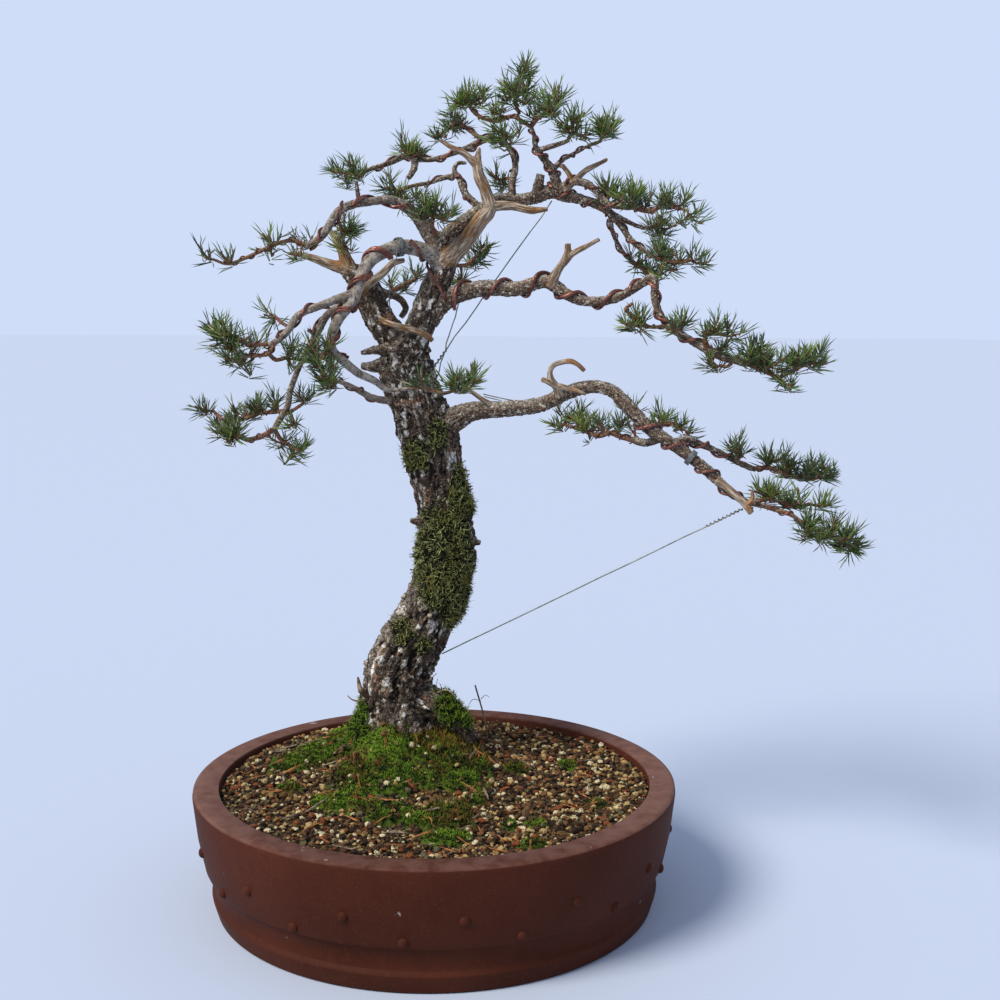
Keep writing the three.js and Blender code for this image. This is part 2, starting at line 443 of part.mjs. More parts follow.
// A tapered limb with flat ends and seeded bark relief; grow widens it evenly
function limb(rings, sides, relief, seed, grow = 0) {
  const draw = seeded(seed);
  const widen = grow / Math.cos(Math.PI / sides);
  const last = rings.length - 1;
  const positions = [];
  rings.forEach((ring, i) => {
    const reach = i === 0 ? -grow : grow;
    const push = i === 0 || i === last ? ring.along.clone().multiplyScalar(reach) : new THREE.Vector3();
    for (let j = 0; j < sides; j++) {
      const radius = ring.radius * (1 + relief * (2 * draw() - 1)) + widen;
      positions.push(...onRing(ring, cornerAngle(i, j, sides), radius).add(push).toArray());
    }
  });
  const triangles = [];
  for (let i = 0; i < last; i++) bandTriangles(i, sides).forEach((t) => triangles.push(...t));
  for (let j = 1; j < sides - 1; j++) {
    triangles.push(0, j + 1, j);
    triangles.push(last * sides, last * sides + j, last * sides + j + 1);
  }
  return meshSolid(positions, triangles);
}

const meanRadius = (points) => points.reduce((sum, p) => sum + p[3], 0) / points.length;
const limbSides = (points) => Math.round(3.4 + 0.34 * meanRadius(points));
const limbStep = (points) => 13.5 + 0.1 * meanRadius(points);

// The room that pieces take up, as capsules { from, to, radius, owner }
const capsules = [];

function takeRoom(rings, owner) {
  for (let i = 1; i < rings.length; i++) {
    const radius = Math.max(rings[i - 1].radius, rings[i].radius);
    capsules.push({ from: rings[i - 1].centre, to: rings[i].centre, radius, owner });
  }
}

// Shortest distance between the stretches a to b and c to d
function spacing(a, b, c, d) {
  const ab = b.clone().sub(a);
  const cd = d.clone().sub(c);
  const ca = a.clone().sub(c);
  const abab = ab.dot(ab);
  const cdcd = cd.dot(cd);
  const abcd = ab.dot(cd);
  const cdca = cd.dot(ca);
  const spread = abab * cdcd - abcd * abcd;
  const clamp = THREE.MathUtils.clamp;
  let s = spread > 1e-9 ? clamp((abcd * cdca - ab.dot(ca) * cdcd) / spread, 0, 1) : 0;
  const t = clamp((abcd * s + cdca) / cdcd, 0, 1);
  s = clamp((abcd * t - ab.dot(ca)) / abab, 0, 1);
  return a.clone().addScaledVector(ab, s).distanceTo(c.clone().addScaledVector(cd, t));
}

// Pot

const innerRadius = rimRadius - rimWidth;
const floorRadius = innerRadius - wallLean;

function drumPot() {
  const profile = [...outerProfile, [innerRadius, potHeight], [floorRadius, floorTop], [0, floorTop]];
  const section = profile.map(([r, z]) => new THREE.Vector2(r, z));
  let pot = solid(new THREE.LatheGeometry(section, potSides).rotateX(Math.PI / 2));
  const wallRadiusAt = (z) => THREE.MathUtils.mapLinear(z, ...studdedWall) - studSink;
  [upperStudHeight, lowerStudHeight].forEach((height, row) => {
    for (let i = 0; i < studsPerRow; i++) {
      const turn = (2 * Math.PI * (i + row / 2)) / studsPerRow + firstStudAngle;
      const stud = new THREE.ConeGeometry(studRadius, studRise, studSides).rotateZ(-Math.PI / 2);
      stud.translate(wallRadiusAt(height) + studRise / 2, 0, height).rotateZ(turn - Math.PI / 2);
      pot = pot.add(solid(stud));
    }
  });
  [-drainHoleOffset, drainHoleOffset].forEach((x) => {
    const hole = new THREE.CylinderGeometry(drainHoleRadius, drainHoleRadius, 3 * floorTop, drainHoleSides);
    const groove = new THREE.BoxGeometry(drainGrooveWidth, rimRadius, 2 * drainGrooveDepth);
    pot = pot.subtract(solid(hole.rotateX(Math.PI / 2).translate(x, 0, 0)));
    pot = pot.subtract(solid(groove.translate(x, rimRadius / 2, 0)));
  });
  return pot;
}

function drainScreen(x) {
  const screen = new THREE.BoxGeometry(screenSize, screenSize, screenThickness);
  return solid(screen.translate(x, 0, floorTop + gap + screenThickness / 2));
}

// Soil and moss

function soilHeight(x, y) {
  const away = Math.hypot(x - moundCentre[0], y - moundCentre[1]) / moundSpread;
  return soilEdgeHeight + moundRise * Math.exp(-away * away);
}

// A closed cushion on a round grid: a top and a base, each with its own number of rings, and a wall
// between their rims. Heights take x, y and the share of the way out from the centre
function cushion(centre, sectors, top, base) {
  const positions = [];
  const sheets = [top, base].map(({ rings, radiusAt, heightAt }) => {
    const start = positions.length / 3;
    positions.push(...centre, heightAt(...centre, 0));
    for (let i = 1; i <= rings; i++) {
      for (let j = 0; j < sectors; j++) {
        const angle = cornerAngle(i - rings, j, sectors);
        const radius = (radiusAt(angle) * i) / rings;
        const [x, y] = [centre[0] + radius * Math.cos(angle), centre[1] + radius * Math.sin(angle)];
        positions.push(x, y, heightAt(x, y, i / rings));
      }
    }
    const triangles = [];
    const first = start + 1;
    for (let j = 0; j < sectors; j++) triangles.push([start, first + ((j + 1) % sectors), first + j]);
    for (let i = 1; i < rings; i++) {
      bandTriangles(i, sectors, rings).forEach((t) => triangles.push(t.map((k) => k + first - sectors)));
    }
    return { triangles, rim: positions.length / 3 - sectors };
  });
  const triangles = [...sheets[0].triangles.flat(), ...sheets[1].triangles.flat().reverse()];
  for (let j = 0; j < sectors; j++) {
    const [upper, nextUpper] = [sheets[0].rim + j, sheets[0].rim + ((j + 1) % sectors)];
    const [lower, nextLower] = [sheets[1].rim + j, sheets[1].rim + ((j + 1) % sectors)];
    triangles.push(upper, nextUpper, lower, nextUpper, nextLower, lower);
  }
  return meshSolid(positions, triangles);
}

function soilFilling() {
  const draw = seeded(soilSeed);
  const bottom = floorTop + screenThickness + 2 * gap;
  const innerWall = [floorTop, potHeight, floorRadius, innerRadius];
  const wallRadiusAt = (z) => THREE.MathUtils.mapLinear(z, ...innerWall) - gap;
  const grit = () => gritRelief * (2 * draw() - 1);
  const top = {
    rings: soilRings,
    radiusAt: () => wallRadiusAt(soilEdgeHeight),
    heightAt: (x, y, share) => (share < 1 ? soilHeight(x, y) + grit() : soilEdgeHeight),
  };
  const base = { rings: 1, radiusAt: () => wallRadiusAt(bottom), heightAt: () => bottom };
  return cushion([0, 0], potSides, top, base);
}

function mossMound() {
  const draw = seeded(mossSeed);
  const radiusAt = (angle) => {
    const oval = 1 / Math.hypot(Math.cos(angle) / mossReach[0], Math.sin(angle) / mossReach[1]);
    const swells = mossLobes.map(([count, depth, turn]) => depth * Math.sin(count * angle + turn));
    return oval * swells.reduce((sum, swell) => sum + swell, 1);
  };
  const lift = gritRelief + gap + mossSeat;
  const swell = (share) => mossDepth * Math.sqrt(1 - share * share) + mossRelief * draw() * (share < 1);
  const topAt = (x, y, share) => soilHeight(x, y) + lift + mossEdge + swell(share);
  const baseAt = (x, y) => soilHeight(x, y) + lift;
  const [top, base] = [topAt, baseAt].map((heightAt) => ({ rings: mossRings, radiusAt, heightAt }));
  return cushion(mossCentre, mossSectors, top, base);
}

// Wood

const allWood = [
  ...Object.entries(liveWood).map(([name, points]) => ({ name, points, relief: barkRelief })),
  ...Object.entries(deadWood).map(([name, points]) => ({ name, points, relief: deadwoodRelief })),
];

allWood.forEach((piece, i) => {
  piece.rings = ringsAlong(piece.points, limbStep(piece.points));
  piece.sides = limbSides(piece.points);
  piece.seed = woodSeed + i;
  takeRoom(piece.rings, piece.name);
});

const woodSolid = (grow) => joined(allWood.map(({ rings, sides, relief, seed }) => (
  limb(rings, sides, relief, seed, grow))));

const wood = woodSolid(0);
const woodRoom = woodSolid(gap);

// Copper wires wound round the limbs, bent clear of what grows beside them

function wireAlong(path, radius, sides, steps) {
  const angles = Array.from({ length: sides }, (_, j) => (2 * Math.PI * j) / sides);
  const section = angles.map((angle) => new THREE.Vector2(radius * Math.cos(angle), radius * Math.sin(angle)));
  return solid(new THREE.ExtrudeGeometry(new THREE.Shape(section), { steps, extrudePath: path }));
}

function woundWire([limbName, start, end, turns, radius, firstAngle]) {
  const fine = ringsAlong(liveWood[limbName], 1);
  const steps = Math.round(turns * turnSteps);
  const others = capsules.filter(({ owner }) => owner !== limbName);
  const spots = Array.from({ length: steps + 1 }, (_, k) => {
    const ring = fine[Math.round(THREE.MathUtils.lerp(start, end, k / steps) * (fine.length - 1))];
    const clear = ring.radius * (1 + barkRelief) + windClearance + radius;
    const angle = firstAngle + (2 * Math.PI * k) / turnSteps;
    const spot = onRing(ring, angle, clear / Math.cos(Math.PI / turnSteps));
    others.forEach((other) => {
      const line = new THREE.Line3(other.from, other.to);
      const away = spot.clone().sub(line.closestPointToPoint(spot, true, new THREE.Vector3()));
      const room = other.radius * (1 + deadwoodRelief) + windClearance + radius * 1.3;
      if (away.length() < room) spot.add(away.clone().setLength(room - away.length()));
    });
    return spot;
  });
  takeRoom(spots.map((centre) => ({ centre, radius })), 'copper');
  return wireAlong(new THREE.CatmullRomCurve3(spots), radius, copperSides, steps);
}

function tautWire([from, to]) {
  const path = new THREE.LineCurve3(new THREE.Vector3(...from), new THREE.Vector3(...to));
  return wireAlong(path, guyRadius, guySides, 1);
}

function tie([limbName, share]) {
  const fine = ringsAlong(liveWood[limbName], 1);
  const ring = fine[Math.round(share * (fine.length - 1))];
  const inner = (ring.radius * (1 + barkRelief) + gap) / Math.cos(Math.PI / tieSides);
  const half = tieWidth / 2;
  const outer = inner + tieThickness;
  const section = [[inner, -half], [outer, -half], [outer, half], [inner, half], [inner, -half]];
  const band = new THREE.LatheGeometry(section.map(([r, z]) => new THREE.Vector2(r, z)), tieSides);
  band.applyQuaternion(new THREE.Quaternion().setFromUnitVectors(new THREE.Vector3(0, 1, 0), ring.along));
  return solid(band.translate(...ring.centre.toArray()));
}

// Leafy stems

function stemRings({ from, stem }) {
  if (typeof from !== 'string') return ringsAlong([[...from, stem[0][3]], ...stem], stemStep);
  const end = allWood.find(({ name }) => name === from).rings.at(-1);
  const inside = end.centre.clone().addScaledVector(end.along, -3);
  return ringsAlong([[...inside.toArray(), stem[0][3]], ...stem], stemStep);
}

// The ring of the stem that a tuft's shoot grows from: near the tuft, and rather behind it than ahead
function rootRing(rings, tuft) {
  let walked = 0;
  let best = { cost: Infinity };
  rings.slice(1).forEach((ring, i) => {
    walked += ring.centre.distanceTo(rings[i].centre);
    const cost = ring.centre.distanceTo(tuft) + 0.3 * walked;
    if (cost < best.cost) best = { cost, index: i + 1 };
  });
  return best.index;
}

// A stem of three sides, with shoots drawn out of its own faces, each ending in a bud whose faces
// are drawn out into needles
function leafyStem({ name, rings, tufts, draw }) {
  const positions = [];
  const triangles = [0, 2, 1];
  const corner = (i) => new THREE.Vector3().fromArray(positions, 3 * i);
  const middleOf = ([a, b, c]) => corner(a).add(corner(b)).add(corner(c)).divideScalar(3);
  const addRing = (ring, turned, radius) => [0, 1, 2].map((j) => {
    positions.push(...onRing(ring, cornerAngle(turned, j, 3), radius).toArray());
    return positions.length / 3 - 1;
  });
  const fresh = new Set();

  let last = -1;
  rings.forEach((ring, i) => {
    const bears = tufts.some(({ root }) => root === i);
    const offsets = !bears ? [0] : i === rings.length - 1 ? [-2 * nodeHalf, 0] : [-nodeHalf, nodeHalf];
    offsets.forEach((offset, k) => {
      last += 1;
      const centre = ring.centre.clone().addScaledVector(ring.along, offset);
      addRing({ ...ring, centre }, last, ring.radius);
      if (last === 0) return;
      bandTriangles(last - 1, 3).forEach((face) => {
        face.node = k > 0 ? i : -1;
        fresh.add(face);
      });
    });
  });
  const endFace = [3 * last, 3 * last + 1, 3 * last + 2];
  endFace.node = rings.length - 1;
  fresh.add(endFace);

  const drawOut = (face, shoot, forward) => {
    const middle = middleOf(face);
    const outward = middle.clone().sub(shoot.centre).projectOnPlane(shoot.along).normalize();
    for (let attempt = 0; attempt < needleTries; attempt++) {
      const heading = outward.clone().multiplyScalar(1 - forward).addScaledVector(shoot.along, forward);
      heading.add(new THREE.Vector3(draw() - 0.5, draw() - 0.5, draw() - 0.5).multiplyScalar(needleWander));
      const length = THREE.MathUtils.lerp(shortestNeedle, longestNeedle, draw());
      const point = middle.clone().addScaledVector(heading.normalize(), length);
      const start = middle.clone().lerp(point, needleRoot);
      const radius = needleThickness / 2;
      const blocked = capsules.some((other) => {
        const room = other.radius + radius + (other.tuft === shoot ? 0 : needleClearance);
        return other.shoot !== shoot && spacing(start, point, other.from, other.to) < room;
      });
      if (!blocked) {
        capsules.push({ from: start, to: point, radius, owner: name, tuft: shoot });
        const apex = positions.length / 3;
        positions.push(...point.toArray());
        triangles.push(face[0], face[1], apex, face[1], face[2], apex, face[2], face[0], apex);
        return;
      }
    }
    triangles.push(...face);
  };

  tufts.forEach((shoot) => {
    const facing = (face) => {
      const [a, b, c] = face.map(corner);
      return b.sub(a).cross(c.sub(a)).normalize().dot(shoot.centre.clone().sub(middleOf(face)).normalize());
    };
    const choices = [...fresh].filter(({ node }) => node === shoot.root);
    const face = choices.sort((a, b) => facing(b) - facing(a))[0];
    fresh.delete(face);
    const middle = middleOf(face);
    shoot.along = shoot.centre.clone().sub(middle).normalize();
    const reach = Math.max(shoot.centre.distanceTo(middle) - budLength / 2, shortestShoot);
    const side = corner(face[0]).sub(middle).projectOnPlane(shoot.along).normalize();
    const frame = { side, up: shoot.along.clone().cross(side) };
    const shootAt = (far) => ({ ...frame, centre: middle.clone().addScaledVector(shoot.along, far) });
    const base = addRing(shootAt(reach), 0, shootRadius);
    addRing(shootAt(reach + budLength), 1, shootRadius);
    for (let j = 0; j < 3; j++) {
      const [k, l] = [j, (j + 1) % 3];
      triangles.push(face[k], face[l], base[l], face[k], base[l], base[k]);
    }
    bandTriangles(0, 3).forEach((bud, k) => {
      drawOut(bud.map((i) => i + base[0]), shoot, needleLeans[k % 2]);
    });
    drawOut([base[0] + 3, base[0] + 4, base[0] + 5], shoot, 1);
  });
  fresh.forEach((face) => triangles.push(...face));
  return meshSolid(positions, triangles);
}

// Everything in its place

place('pot', drumPot(), clay);
place('drain_screen_left', drainScreen(-drainHoleOffset), screenBlack);
place('drain_screen_right', drainScreen(drainHoleOffset), screenBlack);
place('soil', soilFilling().subtract(woodRoom), grit);
place('moss_cushion', mossMound().subtract(woodRoom), mossGreen);
place('wood', wood, bark);

const stems = Object.entries(leafyStems).map(([name, plan], i) => {
  const rings = stemRings(plan);
  const tufts = plan.tufts.map((tuft) => {
    const centre = new THREE.Vector3(...tuft);
    return { centre, root: rootRing(rings, centre) };
  });
  return { name, rings, tufts, draw: seeded(spraySeed + i) };
});
const wires = Object.entries(copperWires).map(([name, plan]) => [name, woundWire(plan)]);
wires.forEach(([name, wire]) => place(name, wire, copper));
Object.entries(guyWires).forEach(([name, plan]) => place(name, tautWire(plan), steel));
Object.entries(ties).forEach(([name, plan]) => place(name, tie(plan), tieGrey));

stems.forEach(({ name, rings, tufts }) => {
  takeRoom(rings, name);
  tufts.forEach((shoot) => capsules.push({
    from: rings[shoot.root].centre, to: shoot.centre, radius: shootRadius, owner: name, shoot,
  }));
});
stems.forEach((stem) => {
  place(`needles_${stem.name}`, leafyStem(stem).subtract(woodRoom), needleGreen);
});

export default group;
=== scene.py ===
import math

import bpy
import numpy as np
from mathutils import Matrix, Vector, kdtree, noise


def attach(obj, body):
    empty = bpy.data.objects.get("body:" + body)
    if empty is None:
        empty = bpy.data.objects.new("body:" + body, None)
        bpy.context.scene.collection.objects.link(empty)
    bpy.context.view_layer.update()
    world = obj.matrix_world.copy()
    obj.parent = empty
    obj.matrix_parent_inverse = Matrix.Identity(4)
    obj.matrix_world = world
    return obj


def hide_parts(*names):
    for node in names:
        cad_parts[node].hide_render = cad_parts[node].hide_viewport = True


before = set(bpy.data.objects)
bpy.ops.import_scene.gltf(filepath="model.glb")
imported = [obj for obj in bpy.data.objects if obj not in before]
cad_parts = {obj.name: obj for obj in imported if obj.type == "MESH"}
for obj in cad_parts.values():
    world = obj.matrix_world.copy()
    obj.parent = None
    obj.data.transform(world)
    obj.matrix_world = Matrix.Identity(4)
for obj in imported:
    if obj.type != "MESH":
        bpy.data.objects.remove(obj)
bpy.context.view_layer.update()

# A scots pine bonsai in its round clay pot. Routes and sizes are given in millimetres
mm = 0.001


def tidySelection():
    if bpy.context.object and bpy.context.object.mode != "OBJECT":
        bpy.ops.object.mode_set(mode="OBJECT")
    bpy.ops.object.select_all(action="DESELECT")


def pick(*things):
    tidySelection()
    for thing in things:
        thing.select_set(True)
    bpy.context.view_layer.objects.active = things[0]


def settle(piece):
    pick(piece)
    bpy.ops.object.transform_apply(location=True, rotation=True, scale=True)
    return piece


def joinAs(name, pieces):
    pick(*pieces)
    bpy.ops.object.join()
    whole = bpy.context.object
    whole.name = name
    whole.data.name = name
    return whole


def useModifier(piece, kind, **values):
    pick(piece)
    modifier = piece.modifiers.new(kind.lower(), kind)
    for key, value in values.items():
        setattr(modifier, key, value)
    bpy.ops.object.modifier_apply(modifier=modifier.name)


def objectOf(name, data):
    made = bpy.data.objects.new(name, data)
    bpy.context.collection.objects.link(made)
    return made


def meshPiece(name, points, faces, edges=()):
    mesh = bpy.data.meshes.new(name)
    faces = faces if isinstance(faces, list) else faces.tolist()
    mesh.from_pydata(np.asarray(points).tolist(), list(edges), faces)
    mesh.update()
    return objectOf(name, mesh)


def cornersOf(piece, key="co"):
    values = np.empty(3 * len(piece.data.vertices), dtype=np.float32)
    piece.data.vertices.foreach_get(key, values)
    return values.reshape(-1, 3)


def normalsOf(piece):
    return cornersOf(piece, "normal")


# Moves each corner out along its normal by a lift in millimetres
def swell(piece, lift):
    spots = cornersOf(piece) + normalsOf(piece) * (lift * mm)[:, None]
    piece.data.vertices.foreach_set("co", spots.astype(np.float32).ravel())
    piece.data.update()


def note(piece, name, values):
    values = np.asarray(values, dtype=np.float32)
    kind, key = ("FLOAT_VECTOR", "vector") if values.ndim == 2 else ("FLOAT", "value")
    layer = piece.data.attributes.new(name, kind, "POINT")
    layer.data.foreach_set(key, values.ravel())


def finishPiece(piece, paint, replaces=(), smooth=True):
    piece.data.materials.clear()
    piece.data.materials.append(paint)
    pick(piece)
    if smooth is True:
        bpy.ops.object.shade_smooth()
    elif smooth:
        bpy.ops.object.shade_smooth_by_angle(angle=math.radians(smooth))
    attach(piece, "root")
    if replaces:
        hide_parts(*replaces)
    return piece


def stage(words):
    print("stage:", words)


def unit(vector):
    return vector / np.linalg.norm(vector)


def unitRows(rows):
    return rows / np.linalg.norm(rows, axis=1)[:, None]


def rise(value, low, high):
    share = np.clip((value - low) / (high - low), 0, 1)
    return share * share * (3 - 2 * share)


# Soft noise at places in space, in waves of a size in millimetres
def cloud(spots, size, seed=0.0, octaves=3):
    return np.array([noise.fractal(Vector(spot) + Vector((seed, seed, seed)), 1.0, 2.1, octaves)
                     for spot in spots / (size * mm)])


# A smooth line through [x, y, z, radius] points, one sample a step: centres, ways ahead, sides, ups, radii
def smoothRoute(points, step):
    knots = np.array(points, dtype=float)
    places = knots[:, :3]
    count = len(places)
    ends = np.vstack([2 * places[0] - places[1], places, 2 * places[-1] - places[-2]])
    fine = []
    spots = []
    for i in range(count - 1):
        before, start, stop, after = ends[i:i + 4]
        gaps = [np.linalg.norm(b - a) ** 0.5 for a, b in ((before, start), (start, stop), (stop, after))]
        leave = (start - before) / gaps[0] - (stop - before) / (gaps[0] + gaps[1]) + (stop - start) / gaps[1]
        arrive = (stop - start) / gaps[1] - (after - start) / (gaps[1] + gaps[2]) + (after - stop) / gaps[2]
        leave, arrive = leave * gaps[1], arrive * gaps[1]
        for share in np.linspace(0, 1, 17)[(0 if i == 0 else 1):]:
            cubic = (2 * start - 2 * stop + leave + arrive) * share ** 3
            square = (3 * stop - 3 * start - 2 * leave - arrive) * share ** 2
            fine.append(cubic + square + leave * share + start)
            spots.append(i + share)
    fine = np.array(fine)
    walked = np.concatenate([[0], np.cumsum(np.linalg.norm(np.diff(fine, axis=0), axis=1))])
    samples = max(1, round(walked[-1] / step)) + 1
    lengths = np.linspace(0, walked[-1], samples)
    centres = np.stack([np.interp(lengths, walked, fine[:, k]) for k in range(3)], axis=1)
    radii = np.interp(np.interp(lengths, walked, spots), range(count), knots[:, 3])
    ahead = np.gradient(centres, axis=0) if samples > 2 else np.repeat(centres[-1:] - centres[:1], 2, axis=0)
    ahead = unitRows(ahead)
    axis = np.zeros(3)
    axis[np.argmin(np.abs(ahead[0]))] = 1
    sides = [np.cross(ahead[0], unit(np.cross(ahead[0], axis)))]
    for way in ahead[1:]:
        sides.append(unit(sides[-1] - way * np.dot(sides[-1], way)))
    sides = np.array(sides)
    return {"centres": centres * mm, "ahead": ahead, "sides": sides, "ups": np.cross(ahead, sides),
            "radii": radii * mm, "walked": lengths * mm}


# Round bars along routes, as one curve that is then made a mesh
def roundBars(name, lines, roundness=3):
    curve = bpy.data.curves.new(name, "CURVE")
    curve.dimensions = "3D"
    curve.bevel_depth = 1
    curve.bevel_resolution = roundness
    curve.use_fill_caps = True
    for centres, radii in lines:
        spline = curve.splines.new("POLY")
        spline.points.add(len(centres) - 1)
        for point, centre, radius in zip(spline.points, centres, radii):
            point.co = (*centre, 1)
            point.radius = radius
    pick(objectOf(name, curve))
    bpy.ops.object.convert(target="MESH")
    return bpy.context.object


# Paints

def shade(red, green, blue):
    scaled = [value / 255 for value in (red, green, blue)]
    return [value / 12.92 if value < 0.04045 else ((value + 0.055) / 1.055) ** 2.4 for value in scaled] + [1]


def addNode(tree, kind, settings=(), **inputs):
    made = tree.nodes.new(kind)
    for key, value in dict(settings).items():
        setattr(made, key, value)
    for key, value in inputs.items():
        feed(tree, made.inputs[key.replace("_", " ")], value)
    return made


def feed(tree, socket, value):
    if isinstance(value, bpy.types.NodeSocket):
        tree.links.new(value, socket)
    else:
        socket.default_value = value


# A colour given as three numbers is a shade, any other colour comes from a node
def blendColours(tree, share, first, second, how="MIX"):
    made = addNode(tree, "ShaderNodeMix", {"data_type": "RGBA", "blend_type": how})
    for index, value in ((0, share), (6, first), (7, second)):
        feed(tree, made.inputs[index], shade(*value) if isinstance(value, tuple) else value)
    return made.outputs[2]


def work(tree, how, first, second=0.0, third=0.0, clamp=False):
    made = addNode(tree, "ShaderNodeMath", {"operation": how, "use_clamp": clamp})
    for index, value in enumerate((first, second, third)):
        feed(tree, made.inputs[index], value)
    return made.outputs[0]


def between(tree, value, low, high):
    made = addNode(tree, "ShaderNodeMapRange", {"interpolation_type": "SMOOTHSTEP"}, Value=value)
    feed(tree, made.inputs[1], low)
    feed(tree, made.inputs[2], high)
    return made.outputs[0]


def stretched(tree, place, factors):
    made = addNode(tree, "ShaderNodeVectorMath", {"operation": "MULTIPLY"})
    feed(tree, made.inputs[0], place)
    made.inputs[1].default_value = factors
    return made.outputs[0]


# A row of colours, chosen by a value from 0 to 1
def rampOf(tree, value, stops, how="LINEAR"):
    made = addNode(tree, "ShaderNodeValToRGB", Fac=value)
    made.color_ramp.interpolation = how
    while len(made.color_ramp.elements) < len(stops):
        made.color_ramp.elements.new(0.5)
    for element, (position, colour) in zip(made.color_ramp.elements, stops):
        element.position = position
        element.color = shade(*colour)
    return made.outputs[0]


def readNote(tree, name, output="Fac"):
    return addNode(tree, "ShaderNodeAttribute", {"attribute_name": name}).outputs[output]


def objectPlace(tree):
    return addNode(tree, "ShaderNodeTexCoord").outputs["Object"]


# A node group that takes a place and some sizes, and puts out masks and values
def groupOf(name, outputs, **sizes):
    group = bpy.data.node_groups.new(name, "ShaderNodeTree")
    group.interface.new_socket(name="Place", in_out="INPUT", socket_type="NodeSocketVector")
    for label, value in sizes.items():
        socket = group.interface.new_socket(name=label, in_out="INPUT", socket_type="NodeSocketFloat")
        socket.default_value = value
    for label in outputs:
        group.interface.new_socket(name=label, in_out="OUTPUT", socket_type="NodeSocketFloat")
    return group, group.nodes.new("NodeGroupInput").outputs, group.nodes.new("NodeGroupOutput").inputs


# A patchy mask: where noise of a size rises above a level
def makeMottle():
    group, given, out = groupOf("mottle", ["Mask"], Size=100.0, Level=0.5, Softness=0.1)
    patches = addNode(group, "ShaderNodeTexNoise", Vector=given["Place"], Scale=given["Size"], Detail=4.0,
                      Roughness=0.6)
    low = work(group, "SUBTRACT", given["Level"], given["Softness"])
    high = work(group, "ADD", given["Level"], given["Softness"])
    feed(group, out["Mask"], between(group, patches.outputs[0], low, high))
    return group


# Fine unevenness as a height for bumps
def makeRoughSkin():
    group, given, out = groupOf("roughSkin", ["Height"], Coarse=300.0, Fine=1500.0)
    coarse = addNode(group, "ShaderNodeTexNoise", Vector=given["Place"], Scale=given["Coarse"], Detail=3.0)
    fine = addNode(group, "ShaderNodeTexNoise", Vector=given["Place"], Scale=given["Fine"], Detail=2.0)
    low = work(group, "MULTIPLY", fine.outputs[0], 0.4)
    feed(group, out["Height"], work(group, "ADD", coarse.outputs[0], low))
    return group


# Small flakes: a tone for each and a mask of the cracks between them
def makeFlakeCells():
    group, given, out = groupOf("flakeCells", ["Tone", "Crack"], Size=300.0)
    swirl = addNode(group, "ShaderNodeTexNoise", Vector=given["Place"], Scale=240.0, Detail=3.0)
    moved = addNode(group, "ShaderNodeVectorMath", {"operation": "MULTIPLY_ADD"})
    feed(group, moved.inputs[0], swirl.outputs["Color"])
    moved.inputs[1].default_value = (0.006, 0.006, 0.006)
    feed(group, moved.inputs[2], stretched(group, given["Place"], (1, 1, 0.6)))
    cells = addNode(group, "ShaderNodeTexVoronoi", Vector=moved.outputs[0], Scale=given["Size"])
    tones = addNode(group, "ShaderNodeSeparateColor", Color=cells.outputs["Color"])
    edges = addNode(group, "ShaderNodeTexVoronoi", {"feature": "DISTANCE_TO_EDGE"}, Vector=moved.outputs[0],
                    Scale=given["Size"])
    feed(group, out["Tone"], tones.outputs[0])
    feed(group, out["Crack"], between(group, edges.outputs["Distance"], 0.09, 0.01))
    return group


mottle = makeMottle()
roughSkin = makeRoughSkin()
flakeCells = makeFlakeCells()


def mottleMask(tree, place, size, level, softness=0.08):
    made = addNode(tree, "ShaderNodeGroup", {"node_tree": mottle}, Place=place, Size=size, Level=level,
                   Softness=softness)
    return made.outputs[0]


def patchColour(tree, place, colour, patches):
    for over, *mask in patches:
        colour = blendColours(tree, mottleMask(tree, place, *mask), colour, over)
    return colour


def skinHeight(tree, place, coarse, fine):
    made = addNode(tree, "ShaderNodeGroup", {"node_tree": roughSkin}, Place=place, Coarse=coarse, Fine=fine)
    return made.outputs[0]


def paintOf(name, roughness, metallic=0.0):
    paint = bpy.data.materials.new(name)
    paint.use_nodes = True
    shader = paint.node_tree.nodes["Principled BSDF"]
    shader.inputs["Roughness"].default_value = roughness
    shader.inputs["Metallic"].default_value = metallic
    shader.inputs["Specular IOR Level"].default_value = 0.25 if roughness > 0.6 else 0.45
    return paint, paint.node_tree, shader.inputs


def bumpInto(tree, shaderInputs, height, distance, strength=1.0):
    bump = addNode(tree, "ShaderNodeBump", Height=height, Distance=distance, Strength=strength)
    feed(tree, shaderInputs["Normal"], bump.outputs[0])


# A paint of one colour with patches of others laid over it, each as [colour, size, level, softness]
def patchPaint(name, roughness, first, patches, skin=None, metallic=0.0):
    paint, tree, shader = paintOf(name, roughness, metallic)
    place = objectPlace(tree)
    colour = patchColour(tree, place, first, patches)
    feed(tree, shader["Base Color"], colour)
    if skin:
        coarse, fine, *depth = skin
        bumpInto(tree, shader, skinHeight(tree, place, coarse, fine), *depth)
    return paint


